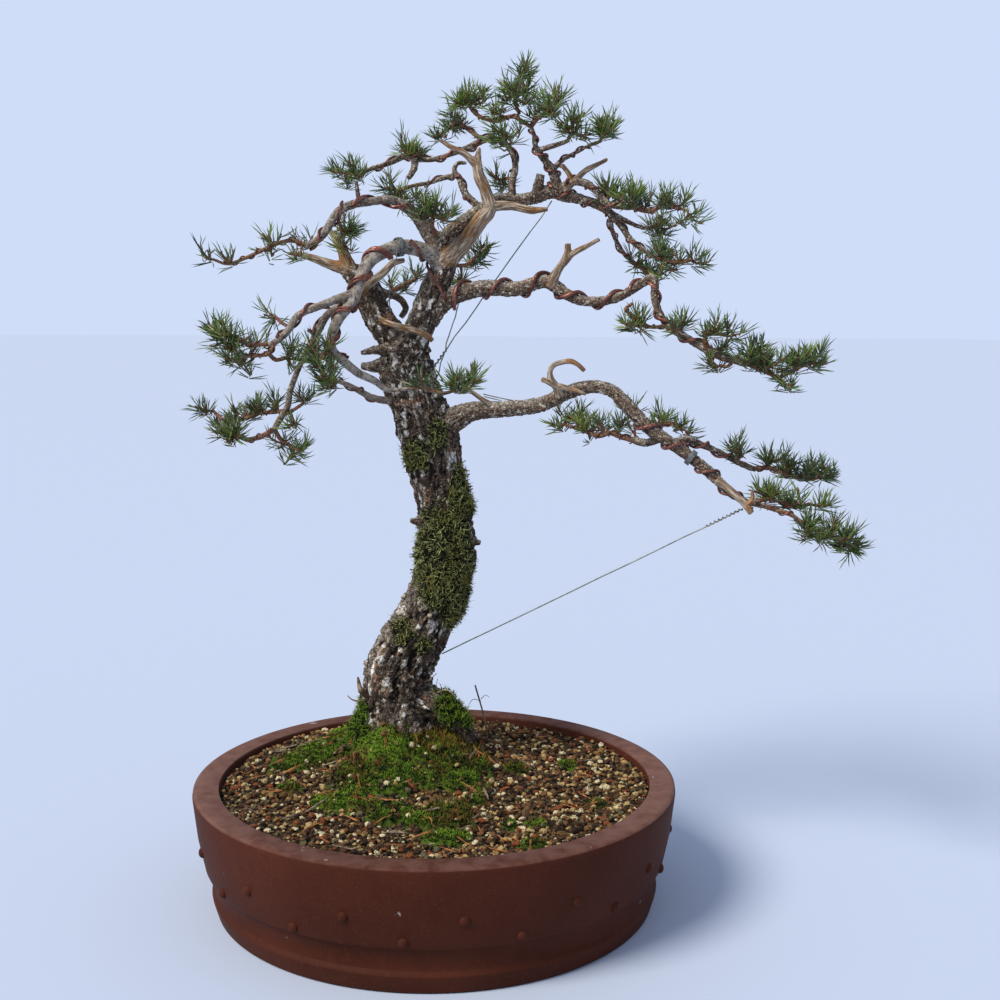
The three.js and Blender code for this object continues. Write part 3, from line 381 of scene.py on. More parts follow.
liveWood = {
    "trunk": [[-38, 72, 76, 41], [-39, 70, 121, 45], [-40, 68, 149, 42], [-42, 67, 172, 37],
        [-40, 65, 206, 35], [-26, 62, 235, 33], [-13, 59, 258, 31], [-1, 56, 285, 30], [6, 54, 313, 30],
        [8, 53, 340, 30], [7, 53, 364, 28], [2, 53, 384, 26], [-2, 54, 403, 27], [-8, 56, 436, 30],
        [-17, 56, 464, 28], [-27, 54, 494, 28], [-28, 52, 528, 20]],
    "root_right": [[-21, 60, 174, 22], [3, 52, 168, 16], [21, 46, 155, 11], [37, 42, 136, 7]],
    "root_left": [[-54, 60, 166, 18], [-74, 54, 145, 14], [-88, 50, 119, 9]],
    "root_front": [[-37, 50, 165, 19], [-38, 34, 143, 15], [-31, 20, 119, 10]],
    "limb_left": [[-30, 54, 513, 17.4], [-43, 56, 534, 16], [-60, 57, 560, 15.2], [-69, 56, 584, 14],
        [-79, 55, 595, 12.5], [-87, 54, 601, 9]],
    "limb_right": [[-28, 50, 519, 18.4], [-21, 48, 536, 15.4], [-8, 45, 570, 13.9], [5, 43, 600, 13],
        [9, 42, 612, 11.4]],
    "arch": [[4, 40, 602, 9.5], [-4, 36, 613, 8], [-18, 28, 619, 7.5], [-34, 18, 620, 7], [-48, 8, 615, 6.7],
        [-61, -2, 605, 6.4], [-69, -9, 587, 6], [-75, -14, 569, 5.5], [-86, -18, 555, 5], [-93, -20, 540, 5],
        [-94, -19, 526, 4.8], [-83, -14, 514, 4.4], [-70, -8, 503, 4.2], [-56, -2, 496, 3.7],
        [-46, 3, 488, 2.8], [-34, 2, 488, 2.1], [-23, -3, 490, 1.6]],
    "left_middle": [[-75, -12, 576, 4.6], [-98, -22, 567, 3.9], [-123, -33, 555, 3.6], [-130, -38, 543, 3.6],
        [-139, -42, 534, 3.1], [-147, -45, 529, 2.7]],
    "left_low": [[-75, -13, 572, 4.4], [-88, 1, 565, 4.2], [-102, 12, 556, 4], [-111, 20, 542, 3.8],
        [-127, 32, 517, 3.1], [-142, 43, 484, 3.1], [-145, 47, 470, 3.4], [-153, 50, 457, 3.4],
        [-161, 53, 444, 3.2]],
    "low_twig": [[-45, 44, 475, 4.3], [-60, 34, 478, 3.6], [-83, 20, 491, 2.8], [-94, 15, 496, 2.4]],
    "crown_trunk": [[4, 44, 608, 11.4], [2, 46, 622, 11], [13, 50, 634, 9.5], [40, 55, 655, 7.7],
        [57, 54, 666, 6.7], [76, 52, 666, 6.7], [93, 50, 669, 6.7], [108, 48, 674, 7.1], [122, 46, 670, 6.2],
        [148, 41, 663, 4.5], [159, 38, 657, 4.5], [167, 36, 650, 4]],
    "left_upper": [[2, 46, 621, 9.5], [-13, 44, 642, 7.6], [-21, 40, 652, 6.1], [-31, 35, 659, 5.2],
        [-44, 30, 664, 4.5], [-61, 25, 662, 4.2], [-77, 20, 659, 4.4], [-89, 15, 653, 4.4],
        [-96, 11, 643, 4.2], [-104, 7, 630, 3.9], [-113, 4, 622, 3.7], [-120, 1, 619, 3]],
    "second_left": [[71, 52, 668, 4.3], [71, 54, 683, 3.6], [74, 60, 697, 3.3], [71, 67, 712, 3.1],
        [64, 73, 722, 3.1], [54, 78, 727, 3.1], [43, 83, 726, 3.6], [30, 88, 720, 3.7], [15, 93, 715, 2.7],
        [-12, 101, 709, 2.7], [-24, 104, 713, 3.9], [-36, 107, 713, 3.5], [-48, 111, 708, 3],
        [-77, 119, 700, 2.5]],
    "second_link": [[-25, 104, 715, 3.9], [-25, 96, 701, 3.7], [-30, 88, 690, 2.9]],
    "third_left": [[38, 54, 661, 3.8], [27, 60, 672, 3.6], [22, 65, 683, 3.6], [19, 69, 690, 3.1],
        [5, 74, 689, 2.7], [-9, 79, 685, 2.4], [-23, 84, 683, 2.2]],
    "loop_twig": [[21, 67, 688, 3.1], [15, 70, 696, 2.6], [19, 73, 703, 2.4], [27, 75, 703, 1.9]],
    "crown_stem": [[113, 48, 670, 6.6], [112, 46, 684, 5.7], [108, 44, 694, 4.7], [102, 42, 702, 3.8],
        [96, 40, 709, 3.3], [92, 38, 716, 2.6], [91, 37, 725, 2.3], [87, 36, 735, 2.1]],
    "crown_knob": [[93, 49, 667, 5.7], [96, 46, 681, 5.2], [98, 45, 690, 4.3]],
    "crown_side": [[110, 44, 695, 3.3], [118, 36, 702, 2.3], [135, 22, 710, 1.9], [143, 16, 714, 1.8]],
    "crown_shelf": [[94, 40, 711, 2.8], [105, 30, 713, 2.8], [115, 20, 715, 2.6], [123, 12, 717, 1.8]],
    "right_high": [[116, 46, 671, 5.2], [122, 40, 680, 4.2], [131, 33, 682, 4], [141, 26, 679, 4],
        [150, 20, 671, 3.7], [158, 14, 661, 3.5], [169, 8, 657, 3], [182, 2, 656, 2.8]],
    "right_drop": [[165, 37, 652, 3.8], [165, 44, 642, 2.6], [179, 60, 617, 2.4], [191, 68, 608, 2.2]],
    "right_fall": [[166, 36, 651, 3.8], [174, 30, 640, 3.1], [183, 24, 627, 3], [194, 18, 618, 2.6],
        [205, 13, 611, 2.3]],
    "right_back": [[165, 38, 653, 3.3], [183, 52, 646, 2.4], [198, 64, 642, 2.2], [210, 74, 645, 1.9]],
    "branch_right": [[-10, 46, 553, 12], [2, 44, 567, 10.5], [16, 41, 576, 9.5], [30, 38, 580, 8.6],
        [46, 34, 583, 8.1], [76, 27, 582, 7.3], [102, 21, 589, 6.8], [112, 18, 584, 6.6],
        [124, 14, 576, 5.6], [137, 10, 571, 5.1], [166, 1, 573, 4.6], [192, -8, 588, 4.4],
        [199, -11, 592, 4.1], [201, -13, 585, 4.1], [201, -15, 573, 3.9], [206, -18, 559, 3.6],
        [214, -21, 547, 3.6], [226, -25, 540, 3.6], [240, -29, 531, 3.9], [254, -33, 524, 4.3],
        [267, -36, 519, 4.1], [279, -39, 516, 3.4]],
    "branch_low": [[0, 54, 447, 16.6], [14, 50, 456, 13.1], [30, 46, 464, 10.7], [46, 42, 467, 9.2],
        [65, 38, 468, 8.2], [99, 29, 473, 7.6], [112, 25, 479, 7.6], [125, 21, 485, 7.1],
        [139, 17, 490, 6.8], [153, 13, 491, 6.6], [166, 9, 487, 6.6], [177, 6, 477, 6.8], [199, 0, 454, 6.8],
        [227, -6, 435, 6.1], [253, -12, 415, 5.6], [265, -14, 404, 5.3], [277, -16, 393, 4.2],
        [289, -17, 387, 3], [299, -18, 384, 3], [308, -19, 383, 2.8]],
    "fork_low": [[223, -5, 440, 4.2], [235, 0, 443, 3.7], [248, 8, 438, 3.8], [263, 16, 432, 3.3],
        [279, 24, 424, 3.3], [295, 31, 416, 3.4], [308, 37, 411, 2.9]],
    "back_low": [[212, -2, 444, 4.2], [199, 16, 438, 4], [190, 32, 439, 4.4]],
    "burl": [[-30, 54, 520, 22], [-29, 41, 522, 18], [-27, 30, 523, 12]],
    "burl_low": [[-34, 54, 500, 17], [-45, 47, 500, 12], [-51, 41, 498, 8]],
    "hook_behind": [[-60, 66, 580, 4.9], [-47, 74, 577, 3.9], [-37, 80, 572, 3.7], [-33, 83, 564, 3.5],
        [-38, 84, 555, 3]],
    "stub_low_left": [[-113, 22, 539, 2.8], [-121, 18, 543, 1.9]],
    "stub_upper": [[-71, 22, 659, 2.8], [-73, 20, 670, 2.3], [-74, 18, 680, 1.9]],
    "stub_right": [[30, 50, 338, 5.9], [42, 47, 336, 2.5]],
    "flake_left": [[-15, 40, 357, 5.8], [-26, 34, 360, 2.4]],
}

deadWood = {
    "jin_left": [[-81, 54, 597, 9.6], [-90, 53, 602, 7.2], [-100, 52, 604, 5.3], [-120, 50, 611, 3.6],
        [-141, 48, 616, 1.7]],
    "jin_left_up": [[-85, 54, 600, 8.2], [-90, 52, 615, 5.7], [-97, 51, 628, 3.8], [-103, 50, 637, 2.4]],
    "jin_twig": [[-73, 46, 578, 4.3], [-62, 36, 588, 3.8], [-50, 30, 597, 3.5], [-40, 27, 606, 3.3],
        [-30, 25, 608, 2.2]],
    "jin_main": [[5, 42, 606, 12.4], [16, 38, 616, 9.5], [29, 34, 629, 8], [40, 31, 644, 7.5],
        [50, 30, 657, 6.6], [46, 29, 672, 5.8], [40, 28, 686, 5.4], [38, 28, 699, 4.4], [40, 28, 712, 1.4]],
    "jin_arm_left": [[39, 28, 694, 4.2], [28, 27, 705, 3.3], [16, 26, 711, 2.6], [3, 25, 718, 1.4]],
    "jin_arm_right": [[46, 30, 658, 5.6], [68, 29, 659, 4], [90, 28, 655, 3.7], [104, 27, 656, 1.9]],
    "jin_on_right": [[107, 18, 584, 6.1], [112, 13, 596, 4.4], [118, 9, 606, 3.5], [122, 7, 614, 3.2],
        [122, 5, 623, 3]],
    "jin_on_right_arm": [[118, 9, 604, 3.2], [127, 6, 614, 2.8], [138, 3, 620, 2.5], [151, 0, 627, 1.8]],
    "jin_hook": [[117, 14, 482, 4.7], [113, 10, 491, 3.8], [108, 8, 498, 3], [107, 7, 506, 2.6],
        [110, 6, 511, 2.6], [118, 6, 514, 2.6], [126, 5, 515, 2.6], [134, 4, 511, 2.3], [139, 4, 506, 2.1]],
    "jin_hook_nub": [[112, 9, 492, 3.3], [105, 7, 496, 2.8], [99, 6, 498, 2.3]],
    "jin_strip": [[115, 9, 492, 2.8], [127, 6, 489, 2.3], [141, 7, 484, 1.4]],
    "jin_end": [[261, -18, 407, 4.2], [274, -23, 397, 3.9], [288, -26, 384, 3.2], [293, -27, 377, 3]],
    "jin_end_up": [[288, -26, 384, 2.8], [293, -27, 390, 2.1], [293, -27, 399, 1.4]],
    "jin_crown": [[121, 42, 675, 3.8], [130, 34, 683, 3], [140, 26, 692, 2.8], [149, 19, 696, 2.3],
        [158, 12, 700, 1.6]],
    "jin_crown_stub": [[129, 36, 681, 2.8], [123, 33, 690, 2.6], [117, 31, 697, 2.1]],
    "stick_front": [[-56, 46, 553, 3.4], [-38, 30, 547, 3.1], [-22, 25, 543, 3.1], [-9, 25, 538, 3.1],
        [-4, 27, 533, 2.4]],
    "twig_on_low": [[54, 40, 471, 2.9], [44, 34, 477, 2.4], [32, 28, 486, 1.9]],
    "stub_left": [[-45, 50, 524, 6.8], [-59, 43, 524, 4.8], [-73, 38, 521, 2.4]],
    "lump_left": [[-49, 48, 511, 8.7], [-62, 43, 508, 5.8], [-73, 40, 509, 3.4]],
}

# Leafy stems: the branch or the place each starts from, the points of its stem, the middles of its tufts
leafyStems = {
    "left_upper_tip": ["left_upper", [[-132, -3, 624, 2.1], [-144, -7, 621, 2.1], [-173, -15, 607, 1.8],
        [-188, -19, 602, 1.6], [-200, -22, 606, 1.4]],
        [[-207, -22, 615], [-188, -30, 612], [-150, -14, 628], [-158, 8, 621], [-125, -16, 614],
        [-124, 14, 628]]],
    "left_upper_inner": [[-92, 13, 648], [[-89, 22, 638, 1.9], [-88, 26, 629, 1.6]],
        [[-75, 32, 639], [-86, 34, 628], [-87, 44, 643]]],
    "second_left_tip": ["second_left", [[-87, 122, 698, 2.3], [-95, 124, 699, 2]],
        [[-106, 126, 707], [-91, 112, 707], [-97, 140, 696], [-81, 98, 698]]],
    "third_left_tip": ["third_left", [[-31, 82, 681, 1.9], [-38, 78, 678, 1.9]],
        [[-43, 66, 673], [-58, 74, 687], [-34, 58, 664], [-22, 74, 672]]],
    "second_left_mid": [[-32, 106, 713], [[-35, 104, 719, 2]],
        [[-40, 112, 727], [-28, 94, 722], [-17, 116, 721]]],
    "crown_left": [[42, 84, 726], [[34, 90, 733, 2.4], [24, 96, 741, 2], [16, 98, 749, 1.5]],
        [[11, 92, 757], [20, 112, 748], [1, 108, 740], [-9, 96, 734]]],
    "crown_top_left": ["crown_stem", [[70, 46, 743, 2.1], [57, 54, 740, 2.1], [44, 60, 743, 2.1],
        [34, 66, 750, 1.9], [28, 70, 759, 1.7]],
        [[22, 70, 772], [45, 62, 776], [32, 90, 767], [49, 40, 755], [15, 52, 764]]],
    "apex": [[77, 36, 744], [[73, 30, 753, 1.9], [73, 24, 763, 1.6], [76, 20, 774, 1.4]],
        [[82, 18, 783], [70, 2, 766], [87, 38, 773], [62, 20, 762], [84, 0, 754]]],
    "crown_inner": [[59, 76, 724], [[61, 62, 727, 1.7], [65, 46, 728, 1.4]],
        [[62, 34, 730], [54, 44, 724], [72, 26, 720]]],
    "crown_top_right": ["crown_stem", [[96, 26, 740, 2.1], [106, 16, 741, 1.8], [111, 8, 747, 1.6]],
        [[93, 40, 755], [101, 4, 750], [114, 8, 759], [111, 24, 762], [106, -14, 742]]],
    "crown_shelf_tip": ["crown_shelf", [[125, 4, 723, 1.6], [125, -2, 729, 1.4]],
        [[127, -9, 740], [116, -10, 726], [133, 2, 727]]],
    "crown_side_tip": ["crown_side", [[151, 8, 716, 1.6], [154, 2, 722, 1.4]],
        [[149, 0, 737], [151, -10, 725], [161, 10, 733]]],
    "right_high_tip": ["right_high", [[196, -4, 652, 2.3], [208, -9, 656, 1.8], [220, -13, 654, 1.6],
        [229, -16, 652, 1.4]],
        [[236, -18, 650], [228, -12, 669], [206, -16, 667], [189, -6, 679], [199, 8, 666], [180, -12, 669]]],
    "right_high_inner": [[157, 15, 662], [[162, 18, 669, 1.9]],
        [[163, 18, 680], [157, 32, 674], [173, 24, 675]]],
    "right_fall_tip": ["right_fall", [[215, 8, 608, 1.9], [225, 3, 606, 1.8], [235, -2, 608, 1.6]],
        [[248, -5, 612], [226, 2, 612], [211, 8, 623], [219, 22, 619], [208, 2, 601]]],
    "right_drop_tip": ["right_drop", [[202, 72, 600, 1.7]],
        [[192, 68, 614], [209, 86, 608], [218, 70, 603]]],
    "right_back_tip": ["right_back", [[222, 82, 651, 1.7]],
        [[207, 84, 649], [224, 92, 656], [223, 84, 639]]],
    "right_loop": [[212, -20, 549], [[197, -26, 547, 1.8], [184, -32, 554, 1.8], [173, -34, 563, 1.8],
        [179, -32, 568, 1.6]],
        [[187, -32, 559], [176, -44, 551]]],
    "right_pair": [[225, -24, 541], [[224, -28, 547, 1.6]],
        [[223, -30, 555], [212, -42, 551]]],
    "right_outer": [[250, -31, 527], [[245, -36, 536, 2], [246, -40, 543, 1.8], [254, -44, 542, 1.8],
        [262, -47, 540, 1.6]],
        [[256, -42, 554], [270, -52, 548], [268, -36, 537], [247, -56, 548]]],
    "right_tip": ["branch_right", [[291, -42, 512, 2.7], [301, -45, 507, 2.2], [310, -48, 503, 1.8],
        [320, -50, 508, 1.6], [338, -54, 517, 1.3]],
        [[315, -48, 499], [345, -55, 521], [340, -46, 528], [323, -62, 529], [310, -70, 527],
        [299, -58, 527], [291, -44, 536], [303, -32, 520], [325, -38, 519], [282, -60, 526]]],
    "right_hook": [[269, -37, 515], [[265, -37, 512, 1.8], [258, -37, 513, 1.6]],
        [[250, -37, 518]]],
    "low_tip": ["branch_low", [[321, -20, 378, 2.6], [331, -21, 375, 2.3], [341, -22, 368, 2.1],
        [355, -23, 361, 1.9], [383, -25, 350, 1.4]],
        [[396, -26, 349], [388, -34, 367], [374, -18, 368], [360, -40, 360], [351, -30, 375], [385, -6, 350],
        [351, -10, 358]]],
    "low_upper": [[298, -17, 386], [[310, -14, 389, 2.1], [325, -10, 385, 1.9], [339, -6, 380, 1.9],
        [352, -2, 383, 1.6]],
        [[318, -14, 401], [314, 2, 400], [345, -8, 390], [368, 2, 389], [336, 4, 392]]],
    "fork_tip": ["fork_low", [[321, 41, 412, 2.4], [335, 46, 407, 2.2], [348, 51, 403, 2],
        [363, 56, 399, 1.7], [377, 60, 401, 1.5]],
        [[349, 54, 424], [368, 70, 419], [377, 54, 415], [390, 62, 407], [359, 38, 412], [323, 46, 427],
        [343, 66, 413]]],
    "fork_inner": [[286, 27, 419], [[292, 30, 425, 1.7]],
        [[290, 30, 434], [287, 46, 437]]],
    "back_tip": ["back_low", [[179, 46, 441, 2.9], [168, 58, 444, 2.7], [158, 68, 440, 2.5],
        [145, 78, 444, 2], [124, 92, 450, 1.5]],
        [[118, 94, 454], [140, 92, 469], [142, 72, 457], [161, 78, 460], [156, 104, 453], [177, 54, 460],
        [189, 36, 481], [131, 110, 464]]],
    "back_right": [[206, 6, 440], [[209, 24, 448, 1.9], [219, 36, 454, 1.7], [231, 42, 455, 1.7]],
        [[205, 32, 465], [218, 48, 465], [234, 54, 459], [249, 42, 450]]],
    "left_middle_tip": ["left_middle", [[-159, -49, 530, 2], [-169, -53, 532, 2], [-178, -56, 537, 1.8],
        [-187, -59, 542, 1.5]],
        [[-196, -60, 548], [-189, -50, 538], [-177, -72, 547], [-170, -66, 536], [-181, -62, 530],
        [-170, -33, 537]]],
    "left_middle_lower": [[-141, -43, 533], [[-147, -48, 522, 2], [-159, -40, 520, 1.8],
        [-169, -38, 519, 1.6]],
        [[-181, -38, 522], [-180, -22, 516]]],
    "left_middle_right": [[-144, -43, 531], [[-148, -36, 522, 2], [-143, -32, 516, 2],
        [-134, -28, 518, 1.8]],
        [[-128, -26, 530], [-123, -16, 524]]],
    "left_middle_top": [[-129, -37, 545], [[-138, -33, 550, 1.6], [-143, -31, 555, 1.4]],
        [[-148, -30, 558]]],
    "low_left_pad": [[-148, 48, 465], [[-159, 54, 463, 2.2], [-172, 60, 462, 2.2], [-185, 64, 458, 2],
        [-199, 68, 453, 2], [-214, 72, 455, 1.7], [-224, 76, 463, 1.5]],
        [[-233, 76, 471], [-221, 82, 450], [-203, 60, 464], [-195, 76, 467], [-183, 60, 473],
        [-173, 72, 472], [-160, 54, 477]]],
    "low_left_bottom": ["left_low", [[-173, 50, 439, 2.9], [-186, 46, 437, 2.4], [-195, 42, 442, 1.9]],
        [[-203, 40, 448], [-213, 46, 453], [-189, 24, 451], [-202, 28, 441]]],
    "low_left_right": [[-159, 53, 446], [[-154, 58, 436, 2.2], [-145, 62, 429, 2]],
        [[-140, 64, 424], [-130, 50, 432], [-154, 78, 436]]],
    "low_left_up": [[-150, 49, 460], [[-139, 48, 466, 1.9], [-130, 46, 472, 1.7]],
        [[-126, 46, 481], [-134, 38, 455]]],
    "low_twig_tip": ["low_twig", [[-101, 12, 499, 1.6]],
        [[-110, 10, 505], [-99, 24, 507], [-104, 27, 492]]],
    "arch_side": [[-90, -17, 520], [[-96, -26, 522, 1.8], [-101, -32, 522, 1.6]],
        [[-108, -44, 514], [-114, -34, 526], [-92, -34, 513], [-96, -32, 531]]],
    "behind_limbs": [[-50, 72, 579], [[-44, 82, 582, 2], [-33, 92, 588, 2], [-23, 98, 594, 1.7]],
        [[-49, 90, 586], [-36, 100, 589], [-18, 102, 602]]],
    "behind_jin": [[9, 44, 604], [[18, 64, 605, 2.2], [28, 78, 607, 2], [37, 88, 616, 1.7]],
        [[45, 92, 629], [41, 98, 618], [30, 98, 610], [19, 80, 591]]],
    "trunk_front": ["arch", [[-11, -9, 490, 1.6], [0, -12, 487, 1.8], [11, -14, 486, 1.8],
        [19, -15, 490, 1.6], [26, -15, 497, 1.4]],
        [[-9, -14, 496], [34, -15, 506], [38, -6, 497], [17, -22, 503], [24, -26, 494]]],
    "crown_base": [[-1, 40, 631], [[-4, 22, 640, 2.3], [-2, 14, 649, 1.9]],
        [[-15, 12, 656], [-8, 22, 661], [3, 16, 658], [13, 6, 649], [19, 20, 658]]],
    "inner_single": [[71, 54, 686], [[63, 62, 688, 1.7]],
        [[53, 66, 694], [61, 72, 681]]],
}


# Wood

wood = {
    "heavy": ["trunk", "root_right", "root_left", "root_front", "limb_left", "limb_right", "burl",
              "burl_low"],
    "barky": ["stub_left", "lump_left"],  # dead stubs that kept their bark
    "smooth": {"arch": 0.85, "left_middle": 0.5, "left_low": 0.35, "left_upper": 0.35, "low_twig": 0.6},
    "routeStep": 3.0,
}

# Grain is the size of the squares that a piece is cut from, and kept the share of its faces left in the end.
# Flake, drawn and the heights give the bark, and thick is the limb's radius at which they are full
relief = {
    "trunk_bark": {"grain": 1.25, "kept": 0.58, "flake": 8.5, "drawn": 2.2, "height": 2.6, "crack": 1.6,
                   "furrow": 1.5, "thick": 28},
    "limb_bark": {"grain": 0.95, "kept": 0.6, "flake": 4.0, "drawn": 1.8, "height": 1.1, "crack": 0.7,
                  "furrow": 0.9, "thick": 9},
    "deadwood": {"grain": 0.8, "kept": 0.66, "strand": 0.4, "knot": 0.09},
}

# The knobbly swelling under the fork, in metres
knob = {"centre": [-0.029, 0.03, 0.520], "spread": [0.026, 0.03, 0.026], "height": 3.2}


# For each corner of a piece: the route it lies on, how far along, and its place across the limb
def limbPlaces(piece, routes):
    samples = [(route, i) for route in routes for i in range(len(route["centres"]))]
    tree = kdtree.KDTree(len(samples))
    for number, (route, i) in enumerate(samples):
        tree.insert(route["centres"][i], number)
    tree.balance()
    reach = np.array([route["radii"][i] for route, i in samples])
    centres = np.array([route["centres"][i] for route, i in samples])
    ways = [np.array([route[key][i] for route, i in samples]) for key in ("sides", "ups", "ahead")]
    walked = np.array([route["walked"][i] for route, i in samples])
    smooth = np.array([route.get("smooth", 0.0) for route, i in samples])
    spots = cornersOf(piece)
    chosen = np.empty(len(spots), dtype=int)
    for number, spot in enumerate(spots):
        near = tree.find_n(spot, 10)
        chosen[number] = min(near, key=lambda found: found[2] - reach[found[1]])[1]
    away = spots - centres[chosen]
    across = [np.einsum("ij,ij->i", away, way[chosen]) for way in ways]
    flow = np.stack([across[0], across[1], walked[chosen] + across[2]], axis=1)
    return flow, reach[chosen], smooth[chosen]


# Bark flakes drawn out along the limb: each is tilted its own way, so one edge stands up
def flakes(flow, size, drawn, seed, tilt):
    heights, cracks, tones = np.empty((3, len(flow)))
    for number, (x, y, z) in enumerate(flow / (size * mm)):
        place = Vector((x, y, z / drawn + seed))
        place += noise.noise_vector(place * 0.8) * 0.6 + noise.noise_vector(place * 2.7) * 0.18
        distances, centres = noise.voronoi(place)
        lean = noise.cell_vector(centres[0] * 9.1) - Vector((0.5, 0.5, 0.5))
        heights[number] = noise.cell(centres[0] * 7.3) - 0.5 + tilt * lean.dot(place - centres[0])
        cracks[number] = distances[1] - distances[0]
        tones[number] = noise.cell(centres[0] * 5.1)
    return heights, cracks, tones


def woodPiece(name, routes):
    piece = roundBars(name, [(route["centres"], route["radii"]) for route in routes])
    useModifier(piece, "REMESH", mode="VOXEL", voxel_size=relief[name]["grain"] * mm, adaptivity=0)
    return piece


# Moss on the trunk: patches of [x, z, half width, half height, strength] as seen from the front
mossPatches = [[6, 322, 27, 54, 1], [24, 386, 13, 28, 1], [-20, 424, 13, 16, 0.95], [0, 442, 9, 15, 0.85],
               [-33, 250, 11, 12, 0.85], [-13, 238, 7, 9, 0.8], [22, 174, 24, 20, 1], [-84, 158, 16, 22, 1],
               [-30, 578, 9, 8, 0.6], [14, 300, 18, 46, 1], [-50, 140, 30, 8, 0.8]]


def mossShare(spots, directions):
    share = np.zeros(len(spots))
    ragged = 0.22 * cloud(spots, 13, 3.0) + 0.12 * cloud(spots, 4, 8.0)
    for x, z, width, height, strength in mossPatches:
        away = np.hypot((spots[:, 0] / mm - x) / width, (spots[:, 2] / mm - z) / height)
        share = np.maximum(share, strength * (1 - rise(away + ragged, 0.78, 1.12)))
    return share * rise(0.45 - directions[:, 1], 0.0, 0.5)


def makeBark(name, routes):
    piece = woodPiece(name, routes)
    spots = cornersOf(piece)
    directions = normalsOf(piece)
    flow, reach, smooth = limbPlaces(piece, routes)
    bark = relief[name]
    onTrunk = name == "trunk_bark"
    coarse = 1 - 0.75 * rise(spots[:, 2], 0.38, 0.48)  # plates low on the trunk, small flakes higher up
    large, cracks, largeTones = flakes(flow, bark["flake"], bark["drawn"], 5.0, 1.6)
    small, smallCracks, smallTones = flakes(flow, bark["flake"] * 0.42, bark["drawn"] * 0.8, 9.0, 1.5)
    furrows = cloud(flow * np.array([1, 1, 0.3]), bark["flake"] * 0.5, 2.0, 3)
    crack = 1 - rise(cracks, 0.0, 0.13)
    smallCrack = 1 - rise(smallCracks, 0.0, 0.16)
    lift = bark["height"] * (0.55 * coarse * large + (0.75 - 0.3 * coarse) * small)
    lift = lift + bark["furrow"] * coarse * furrows
    lift = lift - bark["crack"] * coarse * crack - 0.45 * bark["crack"] * smallCrack
    note(piece, "flow", flow)
    note(piece, "lift", lift / bark["height"])
    plate = 0.6 * coarse * (largeTones - 0.5) + (1 - 0.6 * coarse) * (smallTones - 0.5)
    note(piece, "plate", 0.58 + 1.5 * plate)
    note(piece, "smooth", smooth)
    # How far each corner faces up and to the left, towards the sun, for the painted highlight on the bark
    note(piece, "sunFacing", directions[:, 2] - 0.35 * directions[:, 0])
    thick = np.clip(reach / (bark["thick"] * mm), 0.35, 1.2) * (1 - 0.75 * smooth)
    lift = thick * lift + np.clip(reach / mm * 0.05, 0, 1.5) * cloud(spots, 24, 2.0, 2)
    if onTrunk:
        away = (spots - np.array(knob["centre"])) / np.array(knob["spread"])
        knobs = np.exp(-(away ** 2).sum(axis=1))
        lift = lift + knobs * knob["height"] * cloud(spots, 7, 12.0, 2)
    moss = mossShare(spots, directions) if onTrunk else np.zeros(len(spots))
    note(piece, "moss", moss)
    swell(piece, lift * (1 - 0.7 * moss) + moss * (0.9 + 1.3 * cloud(spots, 5, 7.0, 2)))
    useModifier(piece, "DECIMATE", ratio=bark["kept"])
    return piece


def makeDeadwood(name, routes):
    piece = woodPiece(name, routes)
    flow, reach = limbPlaces(piece, routes)[:2]
    strands = cloud(flow * np.array([1, 1, 0.12]), 1.5, 4.0, 3)
    knots = cloud(cornersOf(piece), 9, 6.0, 2)
    swell(piece, relief[name]["strand"] * strands + relief[name]["knot"] * reach / mm * knots)
    note(piece, "flow", flow)
    note(piece, "strand", strands)
    useModifier(piece, "DECIMATE", ratio=relief[name]["kept"])
    return piece


def makeBarkPaint(name, tones, dark, paintedHighlight, flakeSize):
    paint, tree, shader = paintOf(name, 0.92)
    place = objectPlace(tree)
    flow = readNote(tree, "flow", "Vector")
    lift, plate, sunFacing, smooth, moss = [readNote(tree, key)
                                         for key in ("lift", "plate", "sunFacing", "smooth", "moss")]
    cells = addNode(tree, "ShaderNodeGroup", {"node_tree": flakeCells}, Place=flow, Size=flakeSize)
    tone = work(tree, "MULTIPLY_ADD", work(tree, "SUBTRACT", cells.outputs["Tone"], 0.5), 0.5, plate)
    speckle = work(tree, "SUBTRACT", mottleMask(tree, flow, 330.0, 0.5, 0.16), 0.5)
    colour = rampOf(tree, work(tree, "MULTIPLY_ADD", speckle, 0.3, tone, clamp=True), tones)
    # Painted highlight: surfaces facing up and towards the sun at the left get a pale grey (192, 184, 170),
    # in patches
    top = work(tree, "MULTIPLY", between(tree, sunFacing, 0.1, 0.9), mottleMask(tree, place, 160.0, 0.42, 0.14))
    colour = blendColours(tree, work(tree, "MULTIPLY", top, paintedHighlight), colour, (192, 184, 170))
    colour = patchColour(tree, place, colour, [[(156, 112, 84), 60.0, 0.64, 0.05],
                                               [(210, 202, 188), 900.0, 0.63, 0.05]])
    sleek = patchColour(tree, flow, (116, 104, 92), [[(180, 172, 160), 150.0, 0.5, 0.2]])
    scars = work(tree, "MULTIPLY", mottleMask(tree, flow, 240.0, 0.62, 0.04), 0.7)
    sleek = blendColours(tree, scars, sleek, (92, 76, 64))
    colour = blendColours(tree, smooth, colour, sleek)
    crack = work(tree, "MULTIPLY", cells.outputs["Crack"], work(tree, "SUBTRACT", 0.8, smooth, clamp=True))
    # Cracks between flakes are darkened, and the deepest parts of the relief get the same dark colour as
    # painted shade in the furrows
    colour = blendColours(tree, work(tree, "MAXIMUM", crack, between(tree, lift, -0.62, -1.35)), colour, dark)
    greens = patchColour(tree, place, (16, 18, 7), [[(48, 52, 20), 420.0, 0.55, 0.12]])
    feed(tree, shader["Base Color"], blendColours(tree, moss, colour, greens))
    height = work(tree, "SUBTRACT", skinHeight(tree, flow, 600.0, 2000.0), work(tree, "MULTIPLY", crack, 0.8))
    bumpInto(tree, shader, height, 0.0013, 0.9)
    return paint


